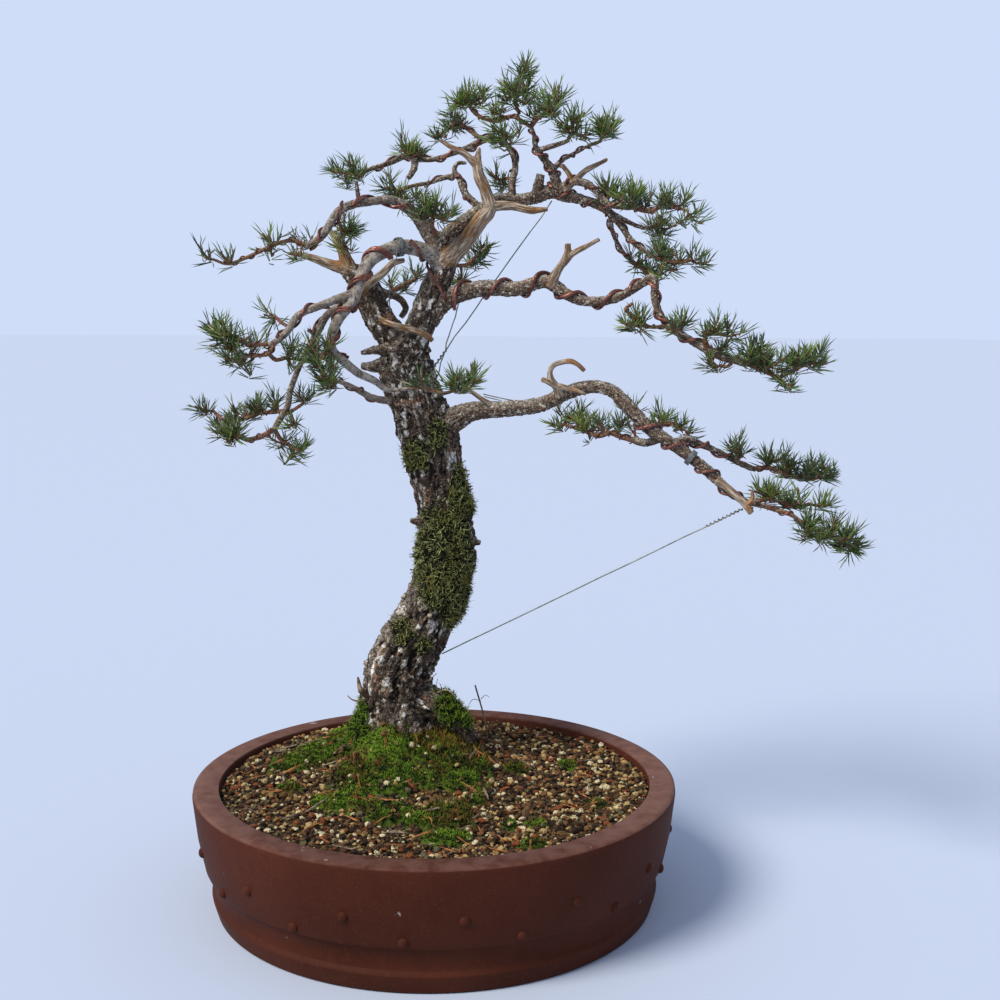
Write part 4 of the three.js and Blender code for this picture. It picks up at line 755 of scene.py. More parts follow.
def makeDeadwoodPaint():
    paint, tree, shader = paintOf("bleachedWood", 0.8)
    flow = readNote(tree, "flow", "Vector")
    strand = between(tree, readNote(tree, "strand"), -0.5, 0.5)
    fibres = addNode(tree, "ShaderNodeTexNoise", Vector=stretched(tree, flow, (1, 1, 0.06)), Scale=1300.0,
                     Detail=3.0).outputs[0]
    warm = mottleMask(tree, objectPlace(tree), 60.0, 0.55)
    colour = blendColours(tree, strand, (126, 106, 88), (196, 178, 154))
    colour = blendColours(tree, warm, colour, (232, 188, 134), "MULTIPLY")
    colour = blendColours(tree, between(tree, fibres, 0.36, 0.58), (104, 84, 66), colour)
    feed(tree, shader["Base Color"], colour)
    bumpInto(tree, shader, fibres, 0.0007, 0.9)
    return paint


lines = {name: smoothRoute(points, wood["routeStep"]) for name, points in {**liveWood, **deadWood}.items()}
for name, share in wood["smooth"].items():
    lines[name]["smooth"] = share
barkTones = [(0.0, (76, 62, 50)), (0.2, (122, 102, 84)), (0.4, (150, 134, 114)), (0.55, (166, 156, 140)),
             (0.75, (204, 196, 182)), (0.95, (232, 228, 220))]
limbTones = [(0.0, (108, 88, 72)), (0.3, (146, 126, 106)), (0.6, (166, 152, 134)), (0.85, (188, 178, 162)),
             (1.0, (208, 200, 186))]
lightRoutes = [name for name in liveWood if name not in wood["heavy"]] + wood["barky"]
deadRoutes = [name for name in deadWood if name not in wood["barky"]]
# Bark paints: tones, the colour of cracks and painted furrow shade, strength of the painted highlight on
# sun-facing sides, and flake size
oldBark = makeBarkPaint("oldBark", barkTones, (38, 28, 22), 0.35, 250.0)
limbBark = makeBarkPaint("limbBark", limbTones, (66, 52, 42), 0.7, 340.0)
for name, make, routes, paint in (("trunk_bark", makeBark, wood["heavy"], oldBark),
                                  ("limb_bark", makeBark, lightRoutes, limbBark),
                                  ("deadwood", makeDeadwood, deadRoutes, makeDeadwoodPaint())):
    piece = finishPiece(make(name, [lines[route] for route in routes]), paint, ["wood"])
    stage(f"{name}, {len(piece.data.polygons)} faces")


# Twigs and needles

foliage = {
    "needleLength": 20.0,
    "lengthShares": [0.62, 0.48],  # the least share of the full length, and what chance adds
    "needleRadius": 0.55,
    "needleMiddle": (0.6, 1.55),  # where a needle is widest, and how wide
    "pairGap": 0.0003,  # between a pair's two needles and their middle, in metres
    "budLength": 3.6,
    "shootRadius": 1.1,
    "seed": 41,
    "mainPairs": 8,
    "sidePairs": 5,
    "sideShoots": 3,
    "sideLength": [7, 15],
    "sideSink": 0.004,  # how far a side shoot dips on its way, in metres
    "leastLength": 0.004,  # of a main shoot, in metres
    "leafyStretch": 10.0,  # length of a shoot that bears needles
    "setBack": 7.0,  # a shoot ends this far short of its tuft's middle
    "lean": [78, 22, 14],  # degrees between shoot and needle at its foot, at its tip, and their scatter
    "turn": 2.39996,  # radians from one pair of needles to the next
    "opening": [0.06, 0.16],  # least opening of a pair of needles, and what chance adds
    "regions": ["crown", "left", "right"],
    "fullness": {"left_upper_tip": 0.6, "left_middle_tip": 0.85, "right_tip": 1.35, "fork_tip": 1.4,
                 "low_tip": 1.5, "low_upper": 1.3, "right_loop": 1.2, "apex": 1.15, "crown_top_left": 1.15,
                 "right_high_tip": 1.2},
}

drawing = np.random.default_rng(foliage["seed"])


def acrossFrom(way):
    side = unit(np.cross(way, [0, 0, 1] if abs(way[2]) < 0.9 else [1, 0, 0]))
    return side, np.cross(way, side)


# Where a tuft's shoot leaves its stem: near the tuft, and rather behind it than ahead
def rootOf(stem, tuft):
    cost = np.linalg.norm(stem["centres"] - tuft, axis=1) + 0.3 * stem["walked"]
    return int(np.argmin(cost[1:])) + 1


def stemPoints(start, stem):
    if isinstance(start, str):
        line = lines[start]
        start = (line["centres"][-1] - 0.003 * line["ahead"][-1]) / mm
    else:
        start = np.array(start, dtype=float)
    return [[*start, stem[0][3]]] + stem


needles = {"roots": [], "ways": [], "lengths": [], "bends": [], "tones": [], "region": []}
twigLines = []


def growShoot(start, end, turnUp, radius, pairs, region, tone):
    shares = np.linspace(0, 1, 5)[:, None]
    foot, outer, scatter = foliage["lean"]
    heading = unit(unit(end - start) * 0.6 + np.array([0, 0, 0.8]) + drawing.normal(0, 0.22, 3))
    shoot = start + (end - start) * shares - heading * turnUp * shares * (1 - shares)
    tip = unit(shoot[-1] - shoot[-2] + heading * 0.004)
    bud = [shoot[-1] + tip * foliage["budLength"] * mm * share for share in (0.4, 1.0)]
    radii = [*(np.linspace(1.2, 0.85, 5) * radius), 1.3 * radius, 0.1 * radius]
    twigLines.append((np.vstack([shoot, bud]), radii))
    leafy = min(foliage["leafyStretch"] * mm, np.linalg.norm(end - start) * 0.9 + 0.002)
    side, up = acrossFrom(heading)
    for pair in range(pairs):
        share = (pair + 0.5) / pairs
        turn = foliage["turn"] * pair + drawing.normal(0, 0.4)
        radial = side * math.cos(turn) + up * math.sin(turn)
        spot = shoot[-1] - tip * leafy * (1 - share) + radial * radius * 0.6
        lean = math.radians(foot - (foot - outer) * share + drawing.normal(0, scatter))
        way = unit(heading * math.cos(lean) + radial * math.sin(lean) + np.array([0, 0, 0.1]))
        split = unit(np.cross(way, drawing.normal(0, 1, 3)))
        least, more = foliage["lengthShares"]
        length = foliage["needleLength"] * mm * (least + more * drawing.random())
        opening = foliage["opening"][0] + foliage["opening"][1] * drawing.random()
        for half in (-1, 1):
            needles["roots"].append(spot + split * half * foliage["pairGap"])
            needles["ways"].append(unit(way + split * half * opening))
            needles["lengths"].append(length * (0.92 + 0.1 * drawing.random()))
            needles["bends"].append(-split * half * 0.05 + drawing.normal(0, 0.07, 3))
            needles["tones"].append(tone + 0.35 * (share - 0.5) + drawing.normal(0, 0.25))
            needles["region"].append(region)
    return shoot


def growTuft(stem, tuft, region, fullness):
    root = rootOf(stem, tuft)
    start = stem["centres"][root]
    ahead = unit(tuft - start + np.array([0, 0, 1e-5]))
    end = tuft - (0.6 * ahead + np.array([0, 0, 0.8])) * foliage["setBack"] * mm
    least = foliage["leastLength"]
    end = start + ahead * least if np.linalg.norm(end - start) < least else end
    tone = drawing.normal(0, 0.15)
    radius = foliage["shootRadius"] * mm
    pairs = round((foliage["mainPairs"] + int(drawing.integers(-2, 3))) * fullness)
    main = growShoot(start, end, np.linalg.norm(end - start) * 0.4, radius, pairs, region, tone)
    for number in range(foliage["sideShoots"]):
        base = main[int(drawing.integers(1, 4))]
        way = unit(ahead * 0.8 + drawing.normal(0, 0.8, 3) * np.array([1, 1, 0.5]) + np.array([0, 0, 0.15]))
        pairs = round((foliage["sidePairs"] + int(drawing.integers(-2, 3))) * fullness)
        end = base + way * drawing.uniform(*foliage["sideLength"]) * mm
        growShoot(base, end, foliage["sideSink"], radius * 0.8, pairs, region, tone)


# Fine spikes, each a bent three-sided pyramid in two steps, or in one where its middle is left out
def spikes(name, roots, ways, lengths, widths, bends, tones, middle=(0.55, 0.75)):
    count = len(roots)
    sides = unitRows(np.cross(ways, np.array([0.31, 0.47, 0.82])))
    ups = np.cross(ways, sides)
    bends = bends * lengths[:, None]
    steps = ((0.0, 1.0), middle) if middle else ((0.0, 1.0),)
    points, along = [], []
    for share, width in steps:
        for k in range(3):
            angle = 2 * math.pi * k / 3
            around = (sides * math.cos(angle) + ups * math.sin(angle)) * widths[:, None] * width
            points.append(roots + ways * lengths[:, None] * share + bends * share * (1 - share) + around)
            along.append(share)
    points.append(roots + ways * lengths[:, None] - bends * 0.3)
    last = len(points) - 1
    faces = [[2, 1, 0]] + [[last - 3 + k, last - 3 + (k + 1) % 3, last] for k in range(3)]
    for k in range(3 if middle else 0):
        faces += [[k, (k + 1) % 3, (k + 1) % 3 + 3], [k, (k + 1) % 3 + 3, k + 3]]
    allFaces = (np.array(faces)[None] + (last + 1) * np.arange(count)[:, None, None]).reshape(-1, 3)
    piece = meshPiece(name, np.stack(points, axis=1).reshape(-1, 3), allFaces)
    note(piece, "tone", np.repeat(tones, last + 1))
    note(piece, "along", np.tile(along + [1], count))
    return piece


def needlePiece(name, region):
    chosen = [i for i, value in enumerate(needles["region"]) if value == region]
    roots, ways, bends, lengths, tones = [np.array(needles[key])[chosen]
                                          for key in ("roots", "ways", "bends", "lengths", "tones")]
    widths = np.full(len(chosen), foliage["needleRadius"] * mm * 0.7)
    return spikes(name, roots, ways, lengths, widths, bends, tones, foliage["needleMiddle"])


def makeNeedlePaint():
    paint, tree, shader = paintOf("needleGreen", 0.42)
    along = readNote(tree, "along")
    tone = between(tree, readNote(tree, "tone"), -0.5, 0.55)
    colour = blendColours(tree, tone, (38, 54, 28), (116, 138, 60))
    colour = patchColour(tree, objectPlace(tree), colour, [[(76, 92, 58), 30.0, 0.56, 0.1]])
    tips = work(tree, "MULTIPLY", between(tree, along, 0.75, 1.0), 0.5)
    colour = blendColours(tree, tips, colour, (176, 178, 120))
    colour = blendColours(tree, between(tree, along, 0.12, 0.0), colour, (132, 100, 66))
    feed(tree, shader["Base Color"], colour)
    return paint


def regionOf(name):
    if name.startswith(("crown", "apex", "second", "third", "inner", "left_upper")):
        return "crown"
    firstTuft = leafyStems[name][2][0]
    return "left" if firstTuft[0] < 60 else "right"


for name, (start, points, tufts) in leafyStems.items():
    stem = smoothRoute(stemPoints(start, points), 2.0)
    twigLines.append((stem["centres"], stem["radii"]))
    for tuft in tufts:
        growTuft(stem, np.array(tuft) * mm, regionOf(name), foliage["fullness"].get(name, 1.0))

needlePaint = makeNeedlePaint()
for region in foliage["regions"]:
    stood = [f"needles_{name}" for name in leafyStems if regionOf(name) == region]
    piece = finishPiece(needlePiece(f"needles_of_{region}", region), needlePaint, stood, smooth=40)
    stage(f"{piece.name}, {len(piece.data.polygons)} faces")
twigPaint = patchPaint("twigBrown", 0.85, (74, 50, 38),
                       [[(150, 116, 90), 500.0, 0.5, 0.12], [(140, 86, 62), 160.0, 0.58, 0.08]],
                       [700.0, 2200.0, 0.0008])
twigs = roundBars("twigs", twigLines, roundness=1)
swell(twigs, cloud(cornersOf(twigs), 1.6, 3.0, 2) * 0.35)
finishPiece(twigs, twigPaint, [f"needles_{name}" for name in leafyStems])
stage(f"twigs, {len(twigs.data.polygons)} faces")


# Wires and ties

# Copper wire round limbs: limb, start and end along it, pitch, radius, first angle, and strands side by side.
# A negative pitch winds the other way
copperWires = {
    "wire_branch_right": ["branch_right", 0.08, 0.57, 38, 1.9, 1.5, 1],
    "wire_fork": ["fork_low", 0.2, 0.75, 30, 1.3, 1, 1],
    "wire_arch_top": ["arch", 0.215, 0.5, -33, 1.6, -1.87, 2],
    "wire_arch_low": ["arch", 0.5, 0.72, -33, 1.5, 0.3, 2],
    "arch_start": ["arch", 0.04, 0.165, -50, 1.7, -2.86, 1],
    "wire_left_middle": ["left_middle", 0.25, 0.9, 38, 1.3, 0, 1],
    "wire_left_upper": ["left_upper", 0.27, 0.62, 50, 1.4, 1, 2],
    "branch_right_outer": ["branch_right", 0.59, 0.93, 32, 1.6, 0, 1],
    "branch_low_middle": ["branch_low", 0.60, 0.75, 30, 1.6, 2, 1],
    "branch_low_end": ["branch_low", 0.79, 0.97, 30, 1.3, 2, 1],
    "left_upper_end": ["left_upper", 0.66, 0.98, 34, 1.2, 2, 1],
    "left_low": ["left_low", 0.06, 0.5, 48, 1.4, 2, 1],
    "second_left": ["second_left", 0.12, 0.95, 34, 1.2, 0, 1],
    "third_left": ["third_left", 0.1, 0.9, 28, 0.9, 0, 1],
    "crown_stem": ["crown_stem", 0.1, 0.95, 19, 1.2, 1, 1],
    "crown_trunk": ["crown_trunk", 0.72, 0.97, 28, 1.2, 1, 1],
    "crown_side": ["crown_side", 0.1, 0.95, 19, 0.9, 1, 1],
    "right_high": ["right_high", 0.15, 0.95, 28, 1.0, 1, 1],
    "right_fall": ["right_fall", 0.1, 0.95, 26, 0.9, 1, 1],
    "right_drop": ["right_drop", 0.1, 0.95, 26, 0.9, 1, 1],
    "low_twig": ["low_twig", 0.3, 0.98, 24, 1.0, 1, 1],
    "limb_right": ["limb_right", 0.5, 0.98, 60, 1.5, 2.6, 1],
}
winding = {
    "stepsPerTurn": 26,
    "leastSteps": 8,
    "clearance": [1.03, 0.1, 0.9],  # of the limb's radius, in millimetres, and of the wire's radius
    "gap": 0.2,  # to the other limbs
    "strandStep": 2.05,  # from one strand to the next, in radii of the wire
    "smoothings": 3,
}

fineWire = {
    "stems": ["left_upper_tip", "crown_left", "crown_top_left", "crown_top_right", "right_high_tip",
              "right_fall_tip", "right_loop", "right_tip", "right_outer", "low_tip", "low_upper", "fork_tip",
              "back_tip", "back_right", "left_middle_tip", "left_middle_lower", "low_left_pad",
              "low_left_bottom"],
    "winding": [0.05, 0.9, 16.0, 0.75, 1.0],  # start, end, pitch, radius and first angle
    "leastStem": 1.4,
}

guyWires = {
    "guy_low_branch": [[285.1, -24.9, 381.1], [4, 51.5, 223.5]],
    "guy_crown": [[108.9, 49.9, 665.9], [-3.4, 47.2, 508]],
    "guy_right_branch": [[20.4, 39.5, 568.2], [-0.1, 43.3, 498.4]],
}
guyShape = {"radius": 0.6, "points": 12, "waver": 0.00035}  # the waver in metres

softTies = {"tie_arch": ["arch", 0.19], "tie_low_branch": ["branch_low", 0.765]}
tieSize = {"width": 5.2, "thickness": 0.9}


def windWire(fine, start, end, pitch, radius, firstAngle, strand=0):
    last = len(fine["centres"]) - 1
    first, final = round(start * last), round(end * last)
    turns = (fine["walked"][final] - fine["walked"][first]) / mm / pitch
    foot = fine["centres"][0]
    others = [line for line in lines.values() if np.linalg.norm(line["centres"][0] - foot) > 1e-4]
    steps = max(winding["leastSteps"], int(abs(turns) * winding["stepsPerTurn"]))
    ofLimb, apart, ofWire = winding["clearance"]
    spots = []
    for k in range(steps + 1):
        along = first + (final - first) * k / steps + strand * winding["strandStep"] * radius
        i = min(last, max(0, round(along)))
        angle = firstAngle - 2 * math.pi * turns * k / steps
        clear = fine["radii"][i] * ofLimb + (apart + ofWire * radius) * mm
        outward = fine["sides"][i] * math.cos(angle) + fine["ups"][i] * math.sin(angle)
        spot = fine["centres"][i] + outward * clear
        for line in others:
            away = np.linalg.norm(line["centres"] - spot, axis=1) - line["radii"] * 1.1
            nearest = int(np.argmin(away))
            short = (winding["gap"] + radius) * mm - away[nearest]
            if short > 0:
                spot = spot + unit(spot - line["centres"][nearest]) * short
        spots.append(spot)
    for smoothing in range(winding["smoothings"]):
        padded = np.vstack([spots[:1], spots, spots[-1:]])
        spots = (padded[:-2] + 2 * padded[1:-1] + padded[2:]) / 4
    return spots, [radius * mm] * len(spots)


def makeCopperPaint():
    paint = patchPaint("agedCopper", 0.4, (96, 58, 50), [[(146, 92, 76), 90.0, 0.5, 0.1],
                                                         [(62, 44, 40), 380.0, 0.58, 0.06]],
                       [400.0, 1500.0, 0.0003, 0.6], 0.55)
    tree = paint.node_tree
    rough = addNode(tree, "ShaderNodeMapRange", Value=mottleMask(tree, objectPlace(tree), 200.0, 0.5, 0.2))
    rough.inputs[3].default_value = 0.32
    rough.inputs[4].default_value = 0.55
    feed(tree, tree.nodes["Principled BSDF"].inputs["Roughness"], rough.outputs[0])
    return paint


copperPaint = makeCopperPaint()
steelPaint = patchPaint("greyWire", 0.45, (96, 102, 92), [[(132, 136, 124), 120.0, 0.5, 0.12]], metallic=0.7)
tiePaint = patchPaint("tieGrey", 0.75, (112, 114, 112), [[(78, 80, 80), 300.0, 0.52, 0.1]],
                      [900.0, 2500.0, 0.0005])

for name, (limbName, *plan, strands) in copperWires.items():
    limb = smoothRoute(liveWood[limbName], 1.0)
    wound = [windWire(limb, *plan, strand) for strand in range(strands)]
    wire = roundBars(f"copper_{name}", wound, roundness=1)
    finishPiece(wire, copperPaint, [name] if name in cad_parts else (), smooth=60)
fineLines = []
for name in fineWire["stems"]:
    stem = smoothRoute(stemPoints(*leafyStems[name][:2]), 1.0)
    stem["radii"] = np.maximum(stem["radii"], fineWire["leastStem"] * mm)
    fineLines.append(windWire(stem, *fineWire["winding"]))
finishPiece(roundBars("copper_fine", fineLines, roundness=0), copperPaint, smooth=60)
for name, (start, stop) in guyWires.items():
    count = guyShape["points"]
    share = np.linspace(0, 1, count)[:, None]
    run = np.array(start) * mm * (1 - share) + np.array(stop) * mm * share
    run[1:-1] += drawing.normal(0, guyShape["waver"], (count - 2, 3))
    wire = roundBars(f"steel_{name}", [(run, [guyShape["radius"] * mm] * count)], roundness=2)
    finishPiece(wire, steelPaint, [name], smooth=50)


def makeTie(name, limbName, share):
    fine = smoothRoute(liveWood[limbName], 1.0)
    i = round(share * (len(fine["centres"]) - 1))
    tidySelection()
    inner = fine["radii"][i] * 1.09 + 0.0004
    thickness = tieSize["thickness"] * mm
    bpy.ops.mesh.primitive_cylinder_add(vertices=32, radius=inner + thickness / 2,
                                        depth=tieSize["width"] * mm, end_fill_type="NOTHING")
    band = bpy.context.object
    bpy.ops.object.mode_set(mode="EDIT")
    bpy.ops.mesh.select_all(action="SELECT")
    bpy.ops.mesh.subdivide(number_cuts=2)
    bpy.ops.object.mode_set(mode="OBJECT")
    useModifier(band, "SOLIDIFY", thickness=thickness, offset=0)
    useModifier(band, "BEVEL", width=0.0003, segments=2, limit_method="ANGLE")
    band.rotation_mode = "QUATERNION"
    band.rotation_quaternion = Vector((0, 0, 1)).rotation_difference(Vector(fine["ahead"][i]))
    band.location = fine["centres"][i]
    settle(band)
    swell(band, cloud(cornersOf(band), 5, 2.0, 2) * 0.35)
    band.name = f"band_{name}"
    finishPiece(band, tiePaint, [name], smooth=50)


for name, (limbName, share) in softTies.items():
    makeTie(name, limbName, share)

# Short loose ends: a thread and two pieces of wire, each a radius and a route
looseEnds = [
    [0.5, [[-35, 0, 628, 0], [-36, -3, 606, 0], [-43, 8, 580, 0], [-43, 16, 560, 0]]],
    [0.55, [[44, 45, 482, 0], [58, 42, 479, 0], [74, 40, 476, 0]]],
    [0.55, [[45, 46, 479.5, 0], [62, 41, 476, 0]]],
]
twist = {"radius": 1.1, "wire": 0.5, "stepsPerTurn": 12}


def twistedEnd(start, stop, length, turns):
    away = unit(np.array(stop, dtype=float) - start)
    side, up = acrossFrom(away)
    steps = turns * twist["stepsPerTurn"]
    spots = []
    for k in range(steps + 1):
        angle = 2 * math.pi * k / twist["stepsPerTurn"]
        ringed = (side * math.cos(angle) + up * math.sin(angle)) * twist["radius"]
        spots.append((np.array(start) + away * length * k / steps + ringed) * mm)
    return spots, [twist["wire"] * mm] * len(spots)


ends = []
for radius, route in looseEnds:
    spots = smoothRoute(route, 2.0)["centres"]
    ends.append((spots, [radius * mm] * len(spots)))
ends.append(twistedEnd(*guyWires["guy_low_branch"], 38.0, 9))
ends.append(twistedEnd(guyWires["guy_crown"][1], guyWires["guy_crown"][0], 22.0, 5))
finishPiece(roundBars("steel_ends", ends, roundness=1), steelPaint, smooth=60)
stage("wires and ties")


# Pot

pot = {
    "profile": [[0, 0], [207, 0], [209.5, 2], [213.4, 15], [213.8, 17], [212.8, 19], [211.0, 21], [210.6, 25],
                [212.0, 34], [214.6, 40], [218.2, 43.2], [220.0, 47], [226, 76], [230, 111], [229.4, 114.6],
                [226.6, 116], [206, 116], [191, 24], [0, 24]],
    "sides": 160,
    "studRadius": 4.8,
    "studRows": [70, 50],
    "studsPerRow": 14,
    "firstStud": 0.15,  # radians from the front
    "wall": [219.5, 45, 6.5, 31],  # radius at a height, and how much it widens over how much more height
    "holeRadius": 18.0,
    "holeOffset": 90.0,
    "groove": [14, 3],
}


def makePot():
    profile = [[radius * mm, 0, height * mm] for radius, height in pot["profile"]]
    body = meshPiece("pot_body", profile, [], [[i, i + 1] for i in range(len(profile) - 1)])
    pick(body)
    bpy.ops.object.mode_set(mode="EDIT")
    bpy.ops.mesh.select_all(action="SELECT")
    bpy.ops.mesh.spin(steps=pot["sides"], angle=2 * math.pi, center=(0, 0, 0), axis=(0, 0, 1))
    bpy.ops.mesh.select_all(action="SELECT")
    bpy.ops.mesh.remove_doubles(threshold=0.00001)
    bpy.ops.mesh.normals_make_consistent(inside=False)
    bpy.ops.object.mode_set(mode="OBJECT")
    width, depth = pot["groove"]
    for side in (-1, 1):
        across = side * pot["holeOffset"] * mm
        tidySelection()
        bpy.ops.mesh.primitive_cylinder_add(vertices=48, radius=pot["holeRadius"] * mm, depth=0.06,
                                            location=(across, 0, 0.012))
        hole = bpy.context.object
        tidySelection()
        bpy.ops.mesh.primitive_cube_add(size=1, location=(across, 0.115, 0),
                                        scale=(width * mm, 0.23, 2 * depth * mm))
        groove = bpy.context.object
        for cutter in (hole, groove):
            useModifier(body, "BOOLEAN", operation="DIFFERENCE", object=cutter, solver="EXACT")
            bpy.data.objects.remove(cutter)
    useModifier(body, "BEVEL", width=0.7 * mm, segments=2, limit_method="ANGLE", angle_limit=math.radians(20))
    return body


def makeStuds():
    tidySelection()
    bpy.ops.mesh.primitive_uv_sphere_add(segments=24, ring_count=12, radius=pot["studRadius"] * mm)
    model = bpy.context.object
    model.scale = (1, 0.75, 1)
    settle(model)
    studs = []
    foot, footHeight, widens, over = pot["wall"]
    for row, height in enumerate(pot["studRows"]):
        for i in range(pot["studsPerRow"]):
            turn = 2 * math.pi * (i + row / 2) / pot["studsPerRow"] + pot["firstStud"]
            wall = (foot + (height - footHeight) / over * widens - 0.3) * mm
            stud = objectOf("stud", model.data.copy())
            stud.rotation_euler = (0, 0, turn)
            stud.location = (wall * math.sin(turn), -wall * math.cos(turn), height * mm)
            studs.append(settle(stud))
    bpy.data.objects.remove(model)
    return joinAs("pot_studs", studs)


def makeClayPaint():
    paint, tree, shader = paintOf("unglazedClay", 0.6)
    shader["Specular IOR Level"].default_value = 0.07
    place = objectPlace(tree)
    colour = patchColour(tree, place, (62, 29, 18), [[(76, 37, 25), 9.0, 0.5, 0.25],
                                                     [(70, 34, 22), 140.0, 0.56, 0.1]])
    across, deep, height = addNode(tree, "ShaderNodeSeparateXYZ", Vector=place).outputs
    # The rim top is paler in mottled patches, and more so towards the left and right
    rim = between(tree, height, 0.1135, 0.1155)
    paleShare = work(tree, "MULTIPLY_ADD", mottleMask(tree, place, 60.0, 0.45, 0.2), 0.3, 0.05)
    paleShare = work(tree, "MULTIPLY_ADD", between(tree, work(tree, "ABSOLUTE", across), 0.1, 0.23), 0.28, paleShare)
    colour = blendColours(tree, work(tree, "MULTIPLY", rim, paleShare), colour, (138, 104, 92))
    colour = patchColour(tree, place, colour, [[(140, 96, 72), 1500.0, 0.68, 0.03],
                                               [(40, 24, 20), 900.0, 0.69, 0.03]])
    flecks = mottleMask(tree, place, 500.0, 0.5, 0.1)
    lime = work(tree, "MULTIPLY", mottleMask(tree, place, 46.0, 0.71, 0.02), flecks)
    colour = blendColours(tree, work(tree, "MULTIPLY", lime, 0.7), colour, (206, 196, 186))
    feed(tree, shader["Base Color"], colour)
    bumpInto(tree, shader, skinHeight(tree, place, 160.0, 900.0), 0.0005, 0.5)
    return paint


finishPiece(joinAs("pot_body", [makePot(), makeStuds()]), makeClayPaint(), ["pot"], smooth=30)
stage("pot")

screens = {"size": 46.0, "height": 24.95, "holes": 15, "wire": 1.0}
screenPaint = patchPaint("blackMesh", 0.55, (26, 26, 26), [[(44, 42, 40), 200.0, 0.5, 0.1]])
for side, word in ((-1, "left"), (1, "right")):
    tidySelection()
    bpy.ops.mesh.primitive_grid_add(x_subdivisions=screens["holes"], y_subdivisions=screens["holes"],
                                    size=(screens["size"] - 1) * mm,
                                    location=(side * pot["holeOffset"] * mm, 0, screens["height"] * mm))
    screen = settle(bpy.context.object)
    useModifier(screen, "WIREFRAME", thickness=screens["wire"] * mm, use_even_offset=False)
    screen.name = f"screen_mesh_{word}"
    finishPiece(screen, screenPaint, [f"drain_screen_{word}"], smooth=30)
stage("drain screens")


# Soil

ground = {
    "moundCentre": [-38, 50],
    "moundRise": 34.0,
    "moundSpread": 84.0,
    "edgeHeight": 109.0,
    "baseHeight": 60.0,
    "radius": 205.0,
    "rings": 40,
    "sectors": 120,
    "grains": 7200,
    "grainReach": 203,
    "grainSize": [1.6, 2.1],  # the least radius, and what chance adds
    "grainFlatness": 0.75,
    "grainsOnMoss": 0.2,
    "seed": 7,
    "grainSeed": 3,
}

groundDraw = np.random.default_rng(ground["seed"])


def soilHeight(x, y):
    away = np.hypot(x - ground["moundCentre"][0], y - ground["moundCentre"][1]) / ground["moundSpread"]
    return ground["edgeHeight"] + ground["moundRise"] * np.exp(-away * away)


# A closed cushion on a round grid: a top sheet, a base sheet and the wall between their rims
def cushion(name, radius, rings, sectors, topAt, baseAt):
    points, faces = [], []
    angles = np.arange(sectors) * 2 * np.pi / sectors
    for heightAt in (topAt, baseAt):
        start = len(points)
        points.append([0, 0, float(heightAt(np.array([0]), np.array([0]), 0.0)[0])])
        for ring in range(1, rings + 1):
            reach = radius * ring / rings
            x, y = reach * np.cos(angles), reach * np.sin(angles)
            points += np.stack([x, y, heightAt(x, y, ring / rings)], axis=1).tolist()
        turned = []
        for j in range(sectors):
            k = (j + 1) % sectors
            turned.append([start, start + 1 + j, start + 1 + k])
            for ring in range(1, rings):
                a, b = start + 1 + (ring - 1) * sectors, start + 1 + ring * sectors
                turned.append([a + j, b + j, b + k, a + k])
        faces += turned if start == 0 else [face[::-1] for face in turned]
    topRim, baseRim = len(points) // 2 - sectors, len(points) - sectors
    faces += [[topRim + j, baseRim + j, baseRim + (j + 1) % sectors, topRim + (j + 1) % sectors]
              for j in range(sectors)]
    return meshPiece(name, np.array(points) * mm, faces)


def roughTop(x, y, share):
    rough = np.array([noise.fractal(Vector((a, b, 0)) * 0.16, 1.0, 2.0, 3) for a, b in zip(x, y)])
    return soilHeight(x, y) + (1.2 * rough - 1.0 if share < 1 else -0.8)


def flatBase(x, y, share):
    return np.full(len(x), ground["baseHeight"])


soilBed = cushion("soil_bed", ground["radius"], ground["rings"], ground["sectors"], roughTop, flatBase)


def rockyGrains(name, spots, sizes, tones):
    tidySelection()
    bpy.ops.mesh.primitive_ico_sphere_add(subdivisions=1, radius=1)
    model = bpy.context.object
    shape = cornersOf(model)
    faces = np.array([list(face.vertices) for face in model.data.polygons])
    bpy.data.objects.remove(model)
    grainDraw = np.random.default_rng(ground["grainSeed"])
    count = len(spots)
    turns = np.linalg.qr(grainDraw.normal(0, 1, (count, 3, 3)))[0]
    turns[:, :, 0] *= np.sign(np.linalg.det(turns))[:, None]
    stretch = grainDraw.uniform(0.62, 1.3, (count, 1, 3))
    dents = grainDraw.uniform(0.7, 1.18, (count, len(shape), 1))
    corners = np.einsum("nij,nkj->nki", turns, shape[None] * stretch * dents) * sizes[:, None, None]
    corners[:, :, 2] *= ground["grainFlatness"]
    corners = corners + spots[:, None]
    allFaces = (faces[None] + len(shape) * np.arange(count)[:, None, None]).reshape(-1, 3)
    piece = meshPiece(name, corners.reshape(-1, 3) * mm, allFaces)
    note(piece, "tone", np.repeat(tones, len(shape)))
    return piece


